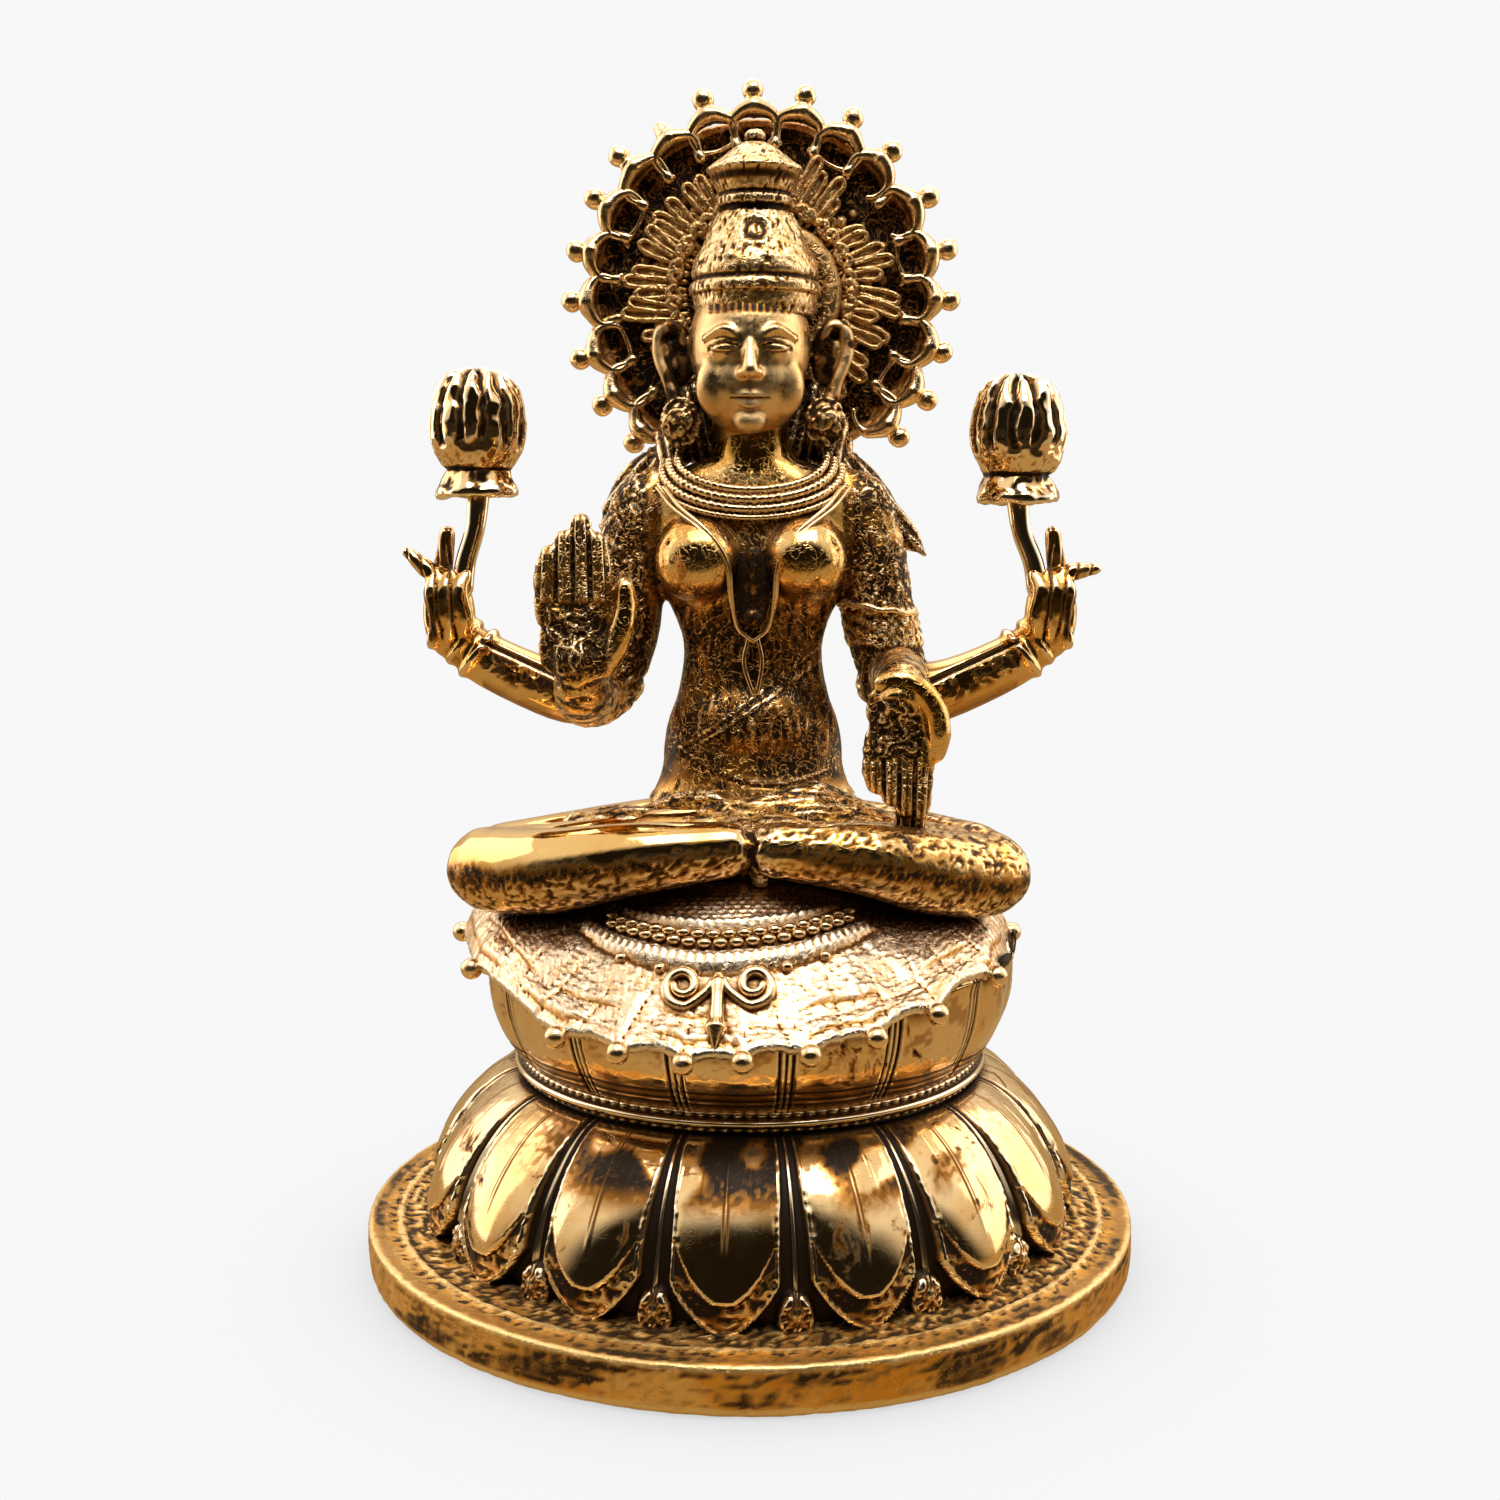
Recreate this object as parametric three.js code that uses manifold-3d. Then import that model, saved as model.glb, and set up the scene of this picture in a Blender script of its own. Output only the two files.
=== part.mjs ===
// A small cast brass figure of a four-armed goddess seated on a double lotus, with a round
// halo of arches and beads behind the head. Figure, halo, lotus and base disc are one casting.
// Millimetres, +Z up. The origin is the centre of the underside of the base disc, and the
// figure faces -Y, so the viewer's left is -X.

import * as THREE from 'three';
import { mergeVertices } from 'three/addons/utils/BufferGeometryUtils.js';
import Module from 'manifold-3d';

const wasm = await Module();
wasm.setup();

// base disc
const discRadius = 40;
const discThickness = 5;
const discLip = 0.8; // bevel round the top edge
const discSides = 40;

// lower lotus, petals hanging down over the disc
const petalCount = 16;
const petalTurn = -4; // degrees that the front petal is turned from straight ahead
const lowerHeight = 14.8;
const lowerTipRadius = 33.9;
const lowerWallRadius = 30.4; // wall under the petal tips
const lowerGroove = 2.2;
const petalLift = 4.6; // how far the valley between two tips stands above the tips
const petalCrown = 0.55; // how far a petal's face falls away on either side of its middle
const tipPoint = 1.6; // over 1, the tips are round; under 1 they are sharp
const valleyShare = 0.9; // beyond this share of half a petal the face dips into the groove
const grooveFade = 0.75; // share of a groove's depth that is gone at the top

// moulding between the lotuses
const waistRadius = 23.7;
const ringRadius = 24.6;
const ringHeight = 2.4;
const ringInset = 0.3; // how far the ring's edges stand in from the waist

// upper lotus, petals standing up
const upperHeight = 10.6;
const upperRimRadius = 27.7;
const upperGroove = 0.7;
const upperRimWidth = 2;
const upperTipRise = 1.3;

// drape that spreads from the lap over the front of the lotus
const drapeHeight = 5.5; // from the lotus rim up to the seat
const hemRadius = 29.6;
const hemThickness = 0.9;
const rimUnderHem = 0.95; // share of the hem's drop by which the lotus rim is lower there
// pairs of a turn from the front and how far the hem hangs below the lotus rim there
const hemDrops = [
  [-104, 0.6], [-80, 0.3], [-62, 0.3], [-33, 3.7], [-8, 4.8], [14, 4], [38, 1.7], [60, 0.3], [104, 0.6],
];
const hemSide = 104; // degrees each way that the hem reaches round from the front
const hemBeads = 12;
const hemBeadRadius = 0.95;
const drapeShift = -1.2; // the cloth lies a little to the viewer's left
const drapeTopRadius = 15.5;
const drapeRise = 4; // how much higher it starts in front, where the shins cross
const kneeReach = 27; // at the sides the cloth stays level this far out, under the knees

// figure, drawn for the height below and scaled with it
const figureHeight = 76.8; // seat to the knob of the crown
const drawnHeight = 76.8;
const knobFoot = 75.2; // foot of the crown's knob, where a strut ties it to the halo

// halo, in the figure's drawn units
const haloX = 1.2;
const haloY = 6.4;
const haloZ = 61.3;
const haloBeadCircle = 20;
const haloApex = 18.5;
const haloValley = 17;
const haloBorderInner = 15.6;
const haloNicheMiddle = 16.9;
const haloBorderThickness = 2.6;
const haloPlateThickness = 1.2;
const haloBeadRadius = 1.1;
const haloPitch = 15.3; // degrees from one bead to the next
const haloArches = 19;
const haloTopTurn = 93; // degrees of the top bead, anticlockwise from the viewer's right
const haloMissingBead = 11; // the bead lost from the upper left
const haloBoss = 8.4;
const featherReach = 14.2;
const featherRoot = 1.6; // how far the feathers' highest place stands from the boss

// lotus buds in the upper hands, in the figure's drawn units
const budRadius = 4.9;
const budRibs = 6;

const sunk = 0.4; // how deep a piece sinks into what carries it
const sliver = 0.15; // edges shorter than this are closed up once all is joined
const scale = figureHeight / drawnHeight;
const lotusTop = discThickness + lowerHeight + ringHeight + upperHeight;
const seatZ = lotusTop + drapeHeight;

const V = (x, y, z) => new THREE.Vector3(x, y, z);
const rad = THREE.MathUtils.degToRad;
const mix = THREE.MathUtils.lerp;

// turns a closed three.js geometry into a solid with its faces out
function solid(geometry) {
  const bare = new THREE.BufferGeometry();
  bare.setAttribute('position', geometry.attributes.position);
  bare.setIndex(geometry.index);
  const merged = mergeVertices(bare, 1e-4);
  const position = merged.attributes.position;
  const corners = Array.from(merged.index.array);
  const faces = [];
  let volume = 0;
  const a = V(0, 0, 0);
  const b = V(0, 0, 0);
  const c = V(0, 0, 0);
  for (let i = 0; i < corners.length; i += 3) {
    const [p, q, r] = corners.slice(i, i + 3);
    if (p === q || q === r || r === p) continue;
    faces.push([p, q, r]);
    a.fromBufferAttribute(position, p);
    b.fromBufferAttribute(position, q);
    c.fromBufferAttribute(position, r);
    volume += a.dot(b.cross(c));
  }
  const out = volume > 0 ? faces : faces.map(([p, q, r]) => [p, r, q]);
  return new wasm.Manifold(new wasm.Mesh({
    numProp: 3,
    vertProperties: Float32Array.from(position.array),
    triVerts: Uint32Array.from(out.flat()),
  }));
}

const join = (solids) => solids.reduce((whole, next) => whole.add(next));

// a point given by its reach, depth and height, turned round the axis that stands at `middle` in X
function aroundAxis(point, turn, middle = 0) {
  const t = rad(turn);
  return V(middle + point.x * Math.sin(t), point.y - point.x * Math.cos(t), point.z);
}

// a lathe whose every point may be moved by shape(point, turn, row), turn being in degrees
// from the front towards +X; profile rows run from the axis at the bottom to the axis at the top
function turned(rows, sides, shape, place) {
  const profile = rows.map(([r, z]) => new THREE.Vector2(r, z));
  const geometry = new THREE.LatheGeometry(profile, sides);
  const position = geometry.attributes.position;
  const point = V(0, 0, 0);
  for (let i = 0; i < position.count; i += 1) {
    const side = Math.floor(i / rows.length) % sides;
    const row = i % rows.length;
    point.set(rows[row][0], 0, rows[row][1]);
    const turn = (360 * side) / sides;
    if (shape) shape(point, turn > 180 ? turn - 360 : turn, row);
    const spot = place ? place(point, turn) : aroundAxis(point, turn);
    position.setXYZ(i, spot.x, spot.y, spot.z);
  }
  return solid(geometry);
}

// a rod of changing radius along a smooth curve; a section is widened along `across`
function rod(points, radii, { sides = 8, steps = 8, across = V(0, 1, 0), widen = 1 } = {}) {
  const curve = new THREE.CatmullRomCurve3(points, false, 'centripetal');
  const profile = [new THREE.Vector2(0, 0)];
  for (let i = 0; i <= steps; i += 1) profile.push(new THREE.Vector2(1, i));
  profile.push(new THREE.Vector2(0, steps));
  const geometry = new THREE.LatheGeometry(profile, sides);
  const position = geometry.attributes.position;
  for (let i = 0; i < position.count; i += 1) {
    const t = position.getY(i) / steps;
    const centre = curve.getPoint(t);
    const along = curve.getTangent(t);
    const wide = across.clone().addScaledVector(along, -across.dot(along)).normalize();
    const thick = along.clone().cross(wide);
    const place = t * (radii.length - 1);
    const low = Math.min(Math.floor(place), radii.length - 2);
    const radius = mix(radii[low], radii[low + 1], place - low);
    centre.addScaledVector(wide, position.getX(i) * radius * widen);
    centre.addScaledVector(thick, position.getZ(i) * radius);
    position.setXYZ(i, centre.x, centre.y, centre.z);
  }
  return solid(geometry);
}

// an egg: a sphere stretched to three half sizes
function egg(centre, half, around = 10, up = 8) {
  const geometry = new THREE.SphereGeometry(1, around, up);
  geometry.rotateX(Math.PI / 2);
  geometry.scale(half.x, half.y, half.z);
  geometry.translate(centre.x, centre.y, centre.z);
  return solid(geometry);
}

// a flat shape drawn in X and Z, from yFront back by its thickness
function slab(shape, yFront, thickness, curveSegments = 6) {
  const geometry = new THREE.ExtrudeGeometry(shape, {
    depth: thickness, bevelEnabled: false, curveSegments, steps: 1,
  });
  geometry.rotateX(Math.PI / 2);
  geometry.translate(0, yFront + thickness, 0);
  return solid(geometry);
}

// distance from a petal's middle, from 0 to 1 at the valley beside it
function petalShare(turn) {
  const pitch = 360 / petalCount;
  const offset = ((turn % pitch) + pitch) % pitch;
  return Math.min(offset, pitch - offset) / (pitch / 2);
}

// height of the cloth's hem by its turn from the front
function hemZ(turn) {
  const next = hemDrops.findIndex(([place]) => place >= turn);
  if (next < 1) return lotusTop - hemDrops[0][1];
  const [fromTurn, fromDrop] = hemDrops[next - 1];
  const [toTurn, toDrop] = hemDrops[next];
  return lotusTop - mix(fromDrop, toDrop, (turn - fromTurn) / (toTurn - fromTurn));
}

function makeDisc() {
  return turned([
    [0, 0],
    [discRadius, 0],
    [discRadius, discThickness - discLip],
    [discRadius - discLip, discThickness],
    [0, discThickness],
  ], discSides);
}

function makeLowerLotus() {
  const low = discThickness;
  const high = low + lowerHeight;
  const fullness = 0.55; // under 1, the dome stays wide low down and turns in late
  const dome = (share) => mix(waistRadius, lowerTipRadius, Math.cos((share * Math.PI) / 2) ** fullness);
  const shoulder = [0.3, 0.62, 0.86];
  const rows = [
    [0, low - sunk],
    [lowerWallRadius, low - sunk],
    [lowerWallRadius, low + sunk],
    [lowerTipRadius, low + sunk],
    ...shoulder.map((share) => [dome(share), low + lowerHeight * share]),
    [waistRadius, high],
    [0, high],
  ];
  const sidesPerPetal = 4;
  return turned(rows, petalCount * sidesPerPetal, (point, turn, row) => {
    const share = petalShare(turn);
    const lift = petalLift * share ** tipPoint;
    if (row === 2 || row === 3) point.z += lift;
    if (row < 3 || row > 6) return;
    const height = (point.z - low) / lowerHeight;
    if (row > 3) point.z += (lift / 2) * (1 - height);
    const groove = share > valleyShare ? lowerGroove : petalCrown * share;
    point.x -= groove * (1 - height * grooveFade);
  }).rotate([0, 0, petalTurn]);
}

function makeRing() {
  const low = discThickness + lowerHeight;
  const mid = low + ringHeight / 2;
  return turned([
    [0, low - sunk],
    [waistRadius - ringInset, low - sunk],
    [ringRadius, mid],
    [waistRadius - ringInset, low + ringHeight + sunk],
    [0, low + ringHeight + sunk],
  ], discSides);
}

function makeUpperLotus() {
  const low = lotusTop - upperHeight;
  const bellyShare = 0.22; // height of the widest curve of the petals
  const belly = mix(waistRadius, upperRimRadius, 0.53);
  const rows = [
    [0, low],
    [waistRadius + ringInset, low],
    [belly, low + upperHeight * bellyShare],
    [upperRimRadius, lotusTop],
    [upperRimRadius - upperRimWidth, lotusTop],
    [0, lotusTop - sunk],
  ];
  const sidesPerPetal = 3;
  return turned(rows, petalCount * sidesPerPetal, (point, turn, row) => {
    const share = petalShare(turn);
    if (row === 2 || row === 3) point.x -= share > valleyShare ? upperGroove : 0;
    if (row === 3) point.z += upperTipRise * (1 - share);
    // in front the rim stays under the cloth that hangs over it
    if (row === 3 || row === 4) point.z -= rimUnderHem * (lotusTop - hemZ(turn));
  }).rotate([0, 0, petalTurn]);
}

// the drape's height where it comes out from under the legs
const drapeTopZ = (turn) => seatZ + drapeRise * Math.max(0, Math.cos(rad(turn))) ** 2;

function makeDrape() {
  const sides = 40;
  const bottom = lotusTop - 2;
  const tucked = upperRimRadius - upperRimWidth;
  const rows = [[0, bottom], [tucked, bottom], [hemRadius, 0], [hemRadius - 0.4, 0],
    [mix(drapeTopRadius, hemRadius, 0.5), 0], [drapeTopRadius, 0], [0, seatZ + drapeRise]];
  const beadTurn = (2 * hemSide) / hemBeads;
  const shaped = (point, turn, row) => {
    const behind = Math.abs(turn) > hemSide;
    const hem = behind ? lotusTop + 0.3 : hemZ(turn);
    const scallop = Math.abs(Math.cos((Math.PI * (turn + hemSide)) / beadTurn));
    if (row === 1 && !behind) point.set(tucked + 0.5, 0, hem - hemThickness * 0.5);
    if (row === 2 || row === 3) {
      point.x = behind ? tucked - 0.4 : point.x + 0.5 * scallop;
      point.z = hem + (row === 3 ? hemThickness : 0);
    }
    if (row === 4) {
      const side = Math.sin(rad(turn)) ** 4;
      point.x = behind ? point.x - 2.5 : mix(point.x, kneeReach, side);
      point.z = mix(drapeTopZ(turn), hem + hemThickness, mix(0.45, 0.15, side));
    }
    if (row === 5) point.z = drapeTopZ(turn);
  };
  const pieces = [turned(rows, sides, shaped, (point, turn) => aroundAxis(point, turn, drapeShift))];
  for (let i = 0; i < hemBeads; i += 1) {
    const turn = -hemSide + beadTurn * (i + 0.5);
    const reach = hemRadius + hemBeadRadius * 0.5;
    const centre = aroundAxis(V(reach, 0, hemZ(turn)), turn, drapeShift);
    pieces.push(egg(centre, V(hemBeadRadius, hemBeadRadius, hemBeadRadius * 0.8), 4, 3));
  }
  return join(pieces);
}

// a point of the drape's top, by its turn from the front and its share from seat to hem
function onDrape(turn, share, above = 0) {
  const reach = mix(drapeTopRadius, hemRadius, share);
  const low = hemZ(turn) + hemThickness;
  const bulge = 0.05 * (drapeTopZ(turn) - low) * Math.sin(Math.PI * share);
  const z = mix(drapeTopZ(turn), low, share) + bulge + above;
  return aroundAxis(V(reach, 0, z), turn, drapeShift);
}

function makeDrapeCarving() {
  const pieces = [];
  const bandPoints = [];
  for (let turn = -44; turn <= 44; turn += 11) bandPoints.push(onDrape(turn, 0.36));
  pieces.push(rod(bandPoints, [0.6, 0.6], { sides: 3, steps: 8, across: V(0, 0, 1) }));
  for (let i = -4; i <= 4; i += 1) {
    pieces.push(egg(onDrape(i * 9, 0.14, 0.1), V(0.8, 0.8, 0.7), 4, 3));
  }
  for (const side of [-1, 1]) {
    const scroll = new THREE.TorusGeometry(1.5, 0.42, 3, 7);
    const place = onDrape(side * 5.2 - 2.5, 0.58, 0.2);
    scroll.rotateX(rad(-38));
    scroll.translate(place.x, place.y, place.z);
    pieces.push(solid(scroll));
  }
  pieces.push(rod([onDrape(-2.5, 0.5, 0.2), onDrape(-2.5, 0.7, 0.4), onDrape(-2.5, 0.92, 0.2)],
    [0.5, 0.8, 0.4, 0.75, 0.2], { sides: 4, steps: 4, across: V(1, 0, 0) }));
  return join(pieces);
}

// the figure below is drawn from the seat plane, in its drawn height

function makeLegs() {
  const pieces = [];
  for (const [side, knee, kneeHeight] of [[-1, 26, 3.8], [1, 23.8, 3.3]]) {
    pieces.push(rod([V(side * 3, 1, 4.8), V(side * 14, -2, 4.2), V(side * (knee - 1), -7.6, 4)],
      [5.6, 4.8, 4], { sides: 8, steps: 2 }));
    pieces.push(rod([V(side * (knee + 4), -8.2, kneeHeight), V(side * (knee + 1), -9.4, kneeHeight),
      V(side * (knee - 7), -14.2, 4.6), V(side * 11, -17, 6.3), V(side * 2, -18, 7.4)],
    [2.2, 4.2, 4, 3.3, 2.5], { sides: 7, steps: 6 }));
  }
  pieces.push(egg(V(0, -5.5, 5.6), V(13, 11.4, 4.6), 10, 6));
  pieces.push(rod([V(-6.5, -9, 8.6), V(-11, -8.4, 9), V(-17.5, -6.8, 8.4)], [1.3, 1.4, 0.9],
    { sides: 5, steps: 3, widen: 1.9 }));
  pieces.push(rod([V(-5, -8.6, 10.2), V(0, -11.6, 8.6), V(7, -9.6, 9.8), V(13, -6.5, 9.6)],
    [0.9, 1.1, 1.2, 0.7], { sides: 5, steps: 5, widen: 1.6 }));
  return join(pieces);
}

function makeTorso() {
  const rows = [
    [0, 3, 0, 0], [9.6, 4, 7, 0], [9.4, 12.6, 7, -0.2], [10, 13.6, 7.4, -0.3], [9, 14.8, 6.6, -0.1],
    [8.6, 18.5, 5.9, 0], [7.1, 25.4, 5.2, 0.1], [9.6, 31.5, 6, 0.2], [10.8, 38.5, 5.8, 0.5],
    [10.4, 41.6, 4.9, 0.6], [7, 43.3, 4.2, 0.5], [4.1, 44.6, 3.8, 0.3], [3.8, 49, 3.8, 0], [0, 49, 0, 0],
  ];
  // each row is a half width, a height, a half depth and a shift back
  const body = turned(rows.map(([width, z]) => [width, z]), 12, (point, turn, row) => {
    const [width, , depth, shift] = rows[row];
    const t = rad(turn);
    point.x = Math.hypot(width * Math.sin(t), depth * Math.cos(t));
    point.y = shift;
  });
  const pieces = [body];
  for (const side of [-1, 1]) {
    pieces.push(egg(V(side * 5.4, -4.3, 34.4), V(4.3, 4.3, 4.4), 8, 5));
    pieces.push(rod([V(side * 8.4, -4.2, 41.2), V(side * 4.6, -7, 38.2), V(side * 2, -7.6, 34),
      V(side * 2, -6.6, 29.5), V(0, -5.6, 26)], [0.6, 0.6], { sides: 3, steps: 5, across: V(1, 0, 0) }));
  }
  pieces.push(egg(V(0, 1.6, 5), V(13, 8.6, 7), 10, 6));
  pieces.push(egg(V(0, -6.2, 31.4), V(1.6, 1.1, 3.9), 6, 4));
  pieces.push(rod([V(0, -5.4, 26.4), V(0.4, -5.8, 21)], [0.7, 0.35], { sides: 4, steps: 1 }));
  const collar = new THREE.TorusGeometry(7.8, 1.5, 4, 12);
  collar.scale(1.14, 0.86, 1);
  collar.rotateX(rad(34));
  collar.translate(0, -0.6, 43.6);
  pieces.push(solid(collar));
  return join(pieces);
}

function makeHead() {
  const centre = V(0, -1.6, 54.8);
  const pieces = [egg(centre, V(6.1, 6.5, 8.2), 10, 8)];
  pieces.push(rod([V(0, -7.6, 56.5), V(0, -8.6, 53.6), V(0, -8.2, 53)], [0.4, 0.9, 0.8],
    { sides: 4, steps: 2 }));
  pieces.push(egg(V(0, -7.2, 50.9), V(1.8, 0.7, 0.6), 5, 3));
  pieces.push(egg(V(0, -6, 48.4), V(1.9, 1.2, 1.3), 5, 4));
  for (const side of [-1, 1]) {
    pieces.push(egg(V(side * 2.3, -7, 55.4), V(1.5, 0.8, 0.7), 5, 3));
    pieces.push(egg(V(side * 6.2 + 0.4, -0.4, 53.8), V(1.3, 1.6, 3.2), 5, 4));
    pieces.push(egg(V(side * 6.8 + 0.4, -0.8, 48.2), V(2.4, 2.2, 2.5), 6, 5));
  }
  pieces.push(egg(V(0.4, 2.9, 47.5), V(8.6, 2.8, 5.4), 8, 6));
  const crown = [
    [0, 57], [6.1, 58.6], [6.3, 62], [5.7, 62.8], [4.9, 65.8], [3.6, 69],
    [4.7, 70.6], [4.6, 72], [1.2, knobFoot], [1.2, drawnHeight - 0.6], [0, drawnHeight],
  ];
  pieces.push(turned(crown, 10, (point, turn, row) => {
    point.y = -0.6;
    if (row >= 1 && row <= 3) point.z += 0.9 * (Math.cos(rad(turn)) - 0.6);
  }));
  return join(pieces);
}

function haloPoint(turn, reach) {
  return [haloX + reach * Math.cos(rad(turn)), haloZ + reach * Math.sin(rad(turn))];
}

const haloTurn = (index) => haloTopTurn + (index - (haloArches - 1) / 2) * haloPitch;

// the halo's plate and its carved front: round the rim a row of arched niches, then a groove,
// a ring of feathers, and a plain boss behind the head
function makeHaloPlate() {
  const span = haloArches * haloPitch;
  const archSides = haloArches * 4;
  const gapSides = 4;
  const back = haloY + haloPlateThickness / 2;
  const floor = haloY - haloPlateThickness / 2;
  const front = haloY - haloBorderThickness;
  const bossFront = 2;
  const rows = [
    [0, back], [haloValley, back], [haloValley, front], [haloNicheMiddle, front], [haloBorderInner, front],
    [featherReach, floor], [haloBoss + featherRoot, floor], [haloBoss, bossFront], [0, bossFront],
  ];
  const halfTurn = 180;
  const bottom = haloTopTurn + halfTurn;
  return turned(rows, archSides + gapSides, (point, turn, row) => {
    const side = Math.round(((turn + 360) % 360) / (360 / (archSides + gapSides)));
    const inGap = side > archSides;
    const archShare = inGap ? 1 : (side % 4) / 4;
    const aroundArch = 1 - Math.abs(archShare * 2 - 1);
    const angle = inGap
      ? bottom + (360 + span) / 2 + ((side - archSides) / gapSides) * (360 - span)
      : bottom + (360 - span) / 2 + (side / archSides) * span;
    let reach = point.x;
    let depth = point.z;
    if (row === 1 || row === 2) reach = inGap ? haloBorderInner : mix(haloValley, haloApex, aroundArch);
    if (row === 3) depth = aroundArch > 0.2 && !inGap ? floor - 0.2 : front;
    if (row === 5) reach -= aroundArch > 0.6 ? 0 : 0.9;
    if (row === 6) depth -= aroundArch > 0.6 && !inGap ? 1.3 : 0;
    point.set(reach, depth, angle);
  }, placeOnHalo);
}

// turns a reach, a depth and an angle round the halo's centre into a place
function placeOnHalo(point) {
  const [x, z] = haloPoint(point.z, point.x);
  return V(x, point.y, z);
}

function makeHalo() {
  const pieces = [makeHaloPlate()];
  const y = haloY - haloBorderThickness / 2;
  for (let i = 0; i < haloArches; i += 1) {
    if (i === haloMissingBead) continue;
    const [footX, footZ] = haloPoint(haloTurn(i), haloApex - 0.6);
    const [tipX, tipZ] = haloPoint(haloTurn(i), haloBeadCircle + haloBeadRadius);
    pieces.push(rod([V(footX, y, footZ), V(tipX, y, tipZ)],
      [0.5, haloBeadRadius, 0.5], { sides: 4, steps: 2 }));
  }
  pieces.push(rod([V(0, -0.6, knobFoot), V(0.4, haloY - 1, haloZ + haloBorderInner + 0.8)], [1.1, 1.1],
    { sides: 4, steps: 1, across: V(1, 0, 0) }));
  return join(pieces);
}

// an open hand with its palm to the viewer: a flat palm whose fingers part in notches, and a
// thumb; `reach` lists the finger tips' heights from the palm's middle, negative when they hang
function makeOpenHand({ palm, wide, tall, reach, thumb }) {
  const up = Math.sign(reach[0]);
  const thick = 2.2;
  const outline = new THREE.Shape();
  const finger = (2 * wide) / reach.length;
  outline.moveTo(wide * 0.55, -up * tall);
  outline.lineTo(-wide * 0.55, -up * tall);
  outline.lineTo(-wide, -up * tall * 0.3);
  reach.forEach((tip, i) => {
    const left = -wide + finger * i;
    if (i > 0) outline.lineTo(left, up * tall * 0.7);
    outline.lineTo(left + finger * 0.2, tip);
    outline.lineTo(left + finger * 0.75, tip);
  });
  outline.lineTo(wide, -up * tall * 0.3);
  outline.closePath();
  const flat = slab(outline, -thick / 2, thick).translate([palm.x, palm.y, palm.z]);
  return join([flat, rod(thumb, [1.4, 1.3, 1.1, 0.8], { sides: 4, steps: 3 })]);
}

// a rear hand closed round a flower stem, one finger pointing outwards
function makeHoldingHand(side, palm, tip) {
  const pieces = [egg(palm, V(2.8, 2, 4.8), 6, 5)];
  pieces.push(rod([V(palm.x + side * 0.6, -0.6, palm.z + 2.4), V(palm.x + side * 1.6, -1, palm.z + 4.2), tip],
    [1.3, 1.1, 0.6], { sides: 4, steps: 2 }));
  pieces.push(rod([V(palm.x + side * 1.2, 0.6, palm.z + 3), V(palm.x + side * 0.4, 0.4, palm.z + 6.4)],
    [1.1, 0.7], { sides: 4, steps: 1 }));
  pieces.push(rod([V(palm.x - side * 1.8, -1, palm.z), V(palm.x - side * 1.4, -2, palm.z + 3.6),
    V(palm.x + side * 0.4, -1.8, palm.z + 4.4)], [1.1, 1, 0.8], { sides: 4, steps: 2 }));
  return join(pieces);
}

function makeBud(foot, head) {
  const lean = head.x - foot.x;
  const pieces = [rod([foot, V(foot.x + lean * 0.7, foot.y, mix(foot.z, head.z, 0.55)),
    V(head.x, head.y, head.z + 1)], [1.2, 1.2], { sides: 5, steps: 2 })];
  const calyx = [
    [0, -0.5], [4.1, -0.5], [3.4, 1.9], [budRadius * 0.96, 4.4], [budRadius, 7],
    [budRadius * 0.74, 10.9], [0, 12],
  ];
  const bud = turned(calyx, budRibs * 2, (point, turn, row) => {
    const rib = Math.round(turn / (180 / budRibs)) % 2 === 0;
    if (row > 2 && row < calyx.length - 1) point.x -= rib ? 0 : 0.35;
  });
  pieces.push(bud.translate([head.x, head.y, head.z]));
  return join(pieces);
}

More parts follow.
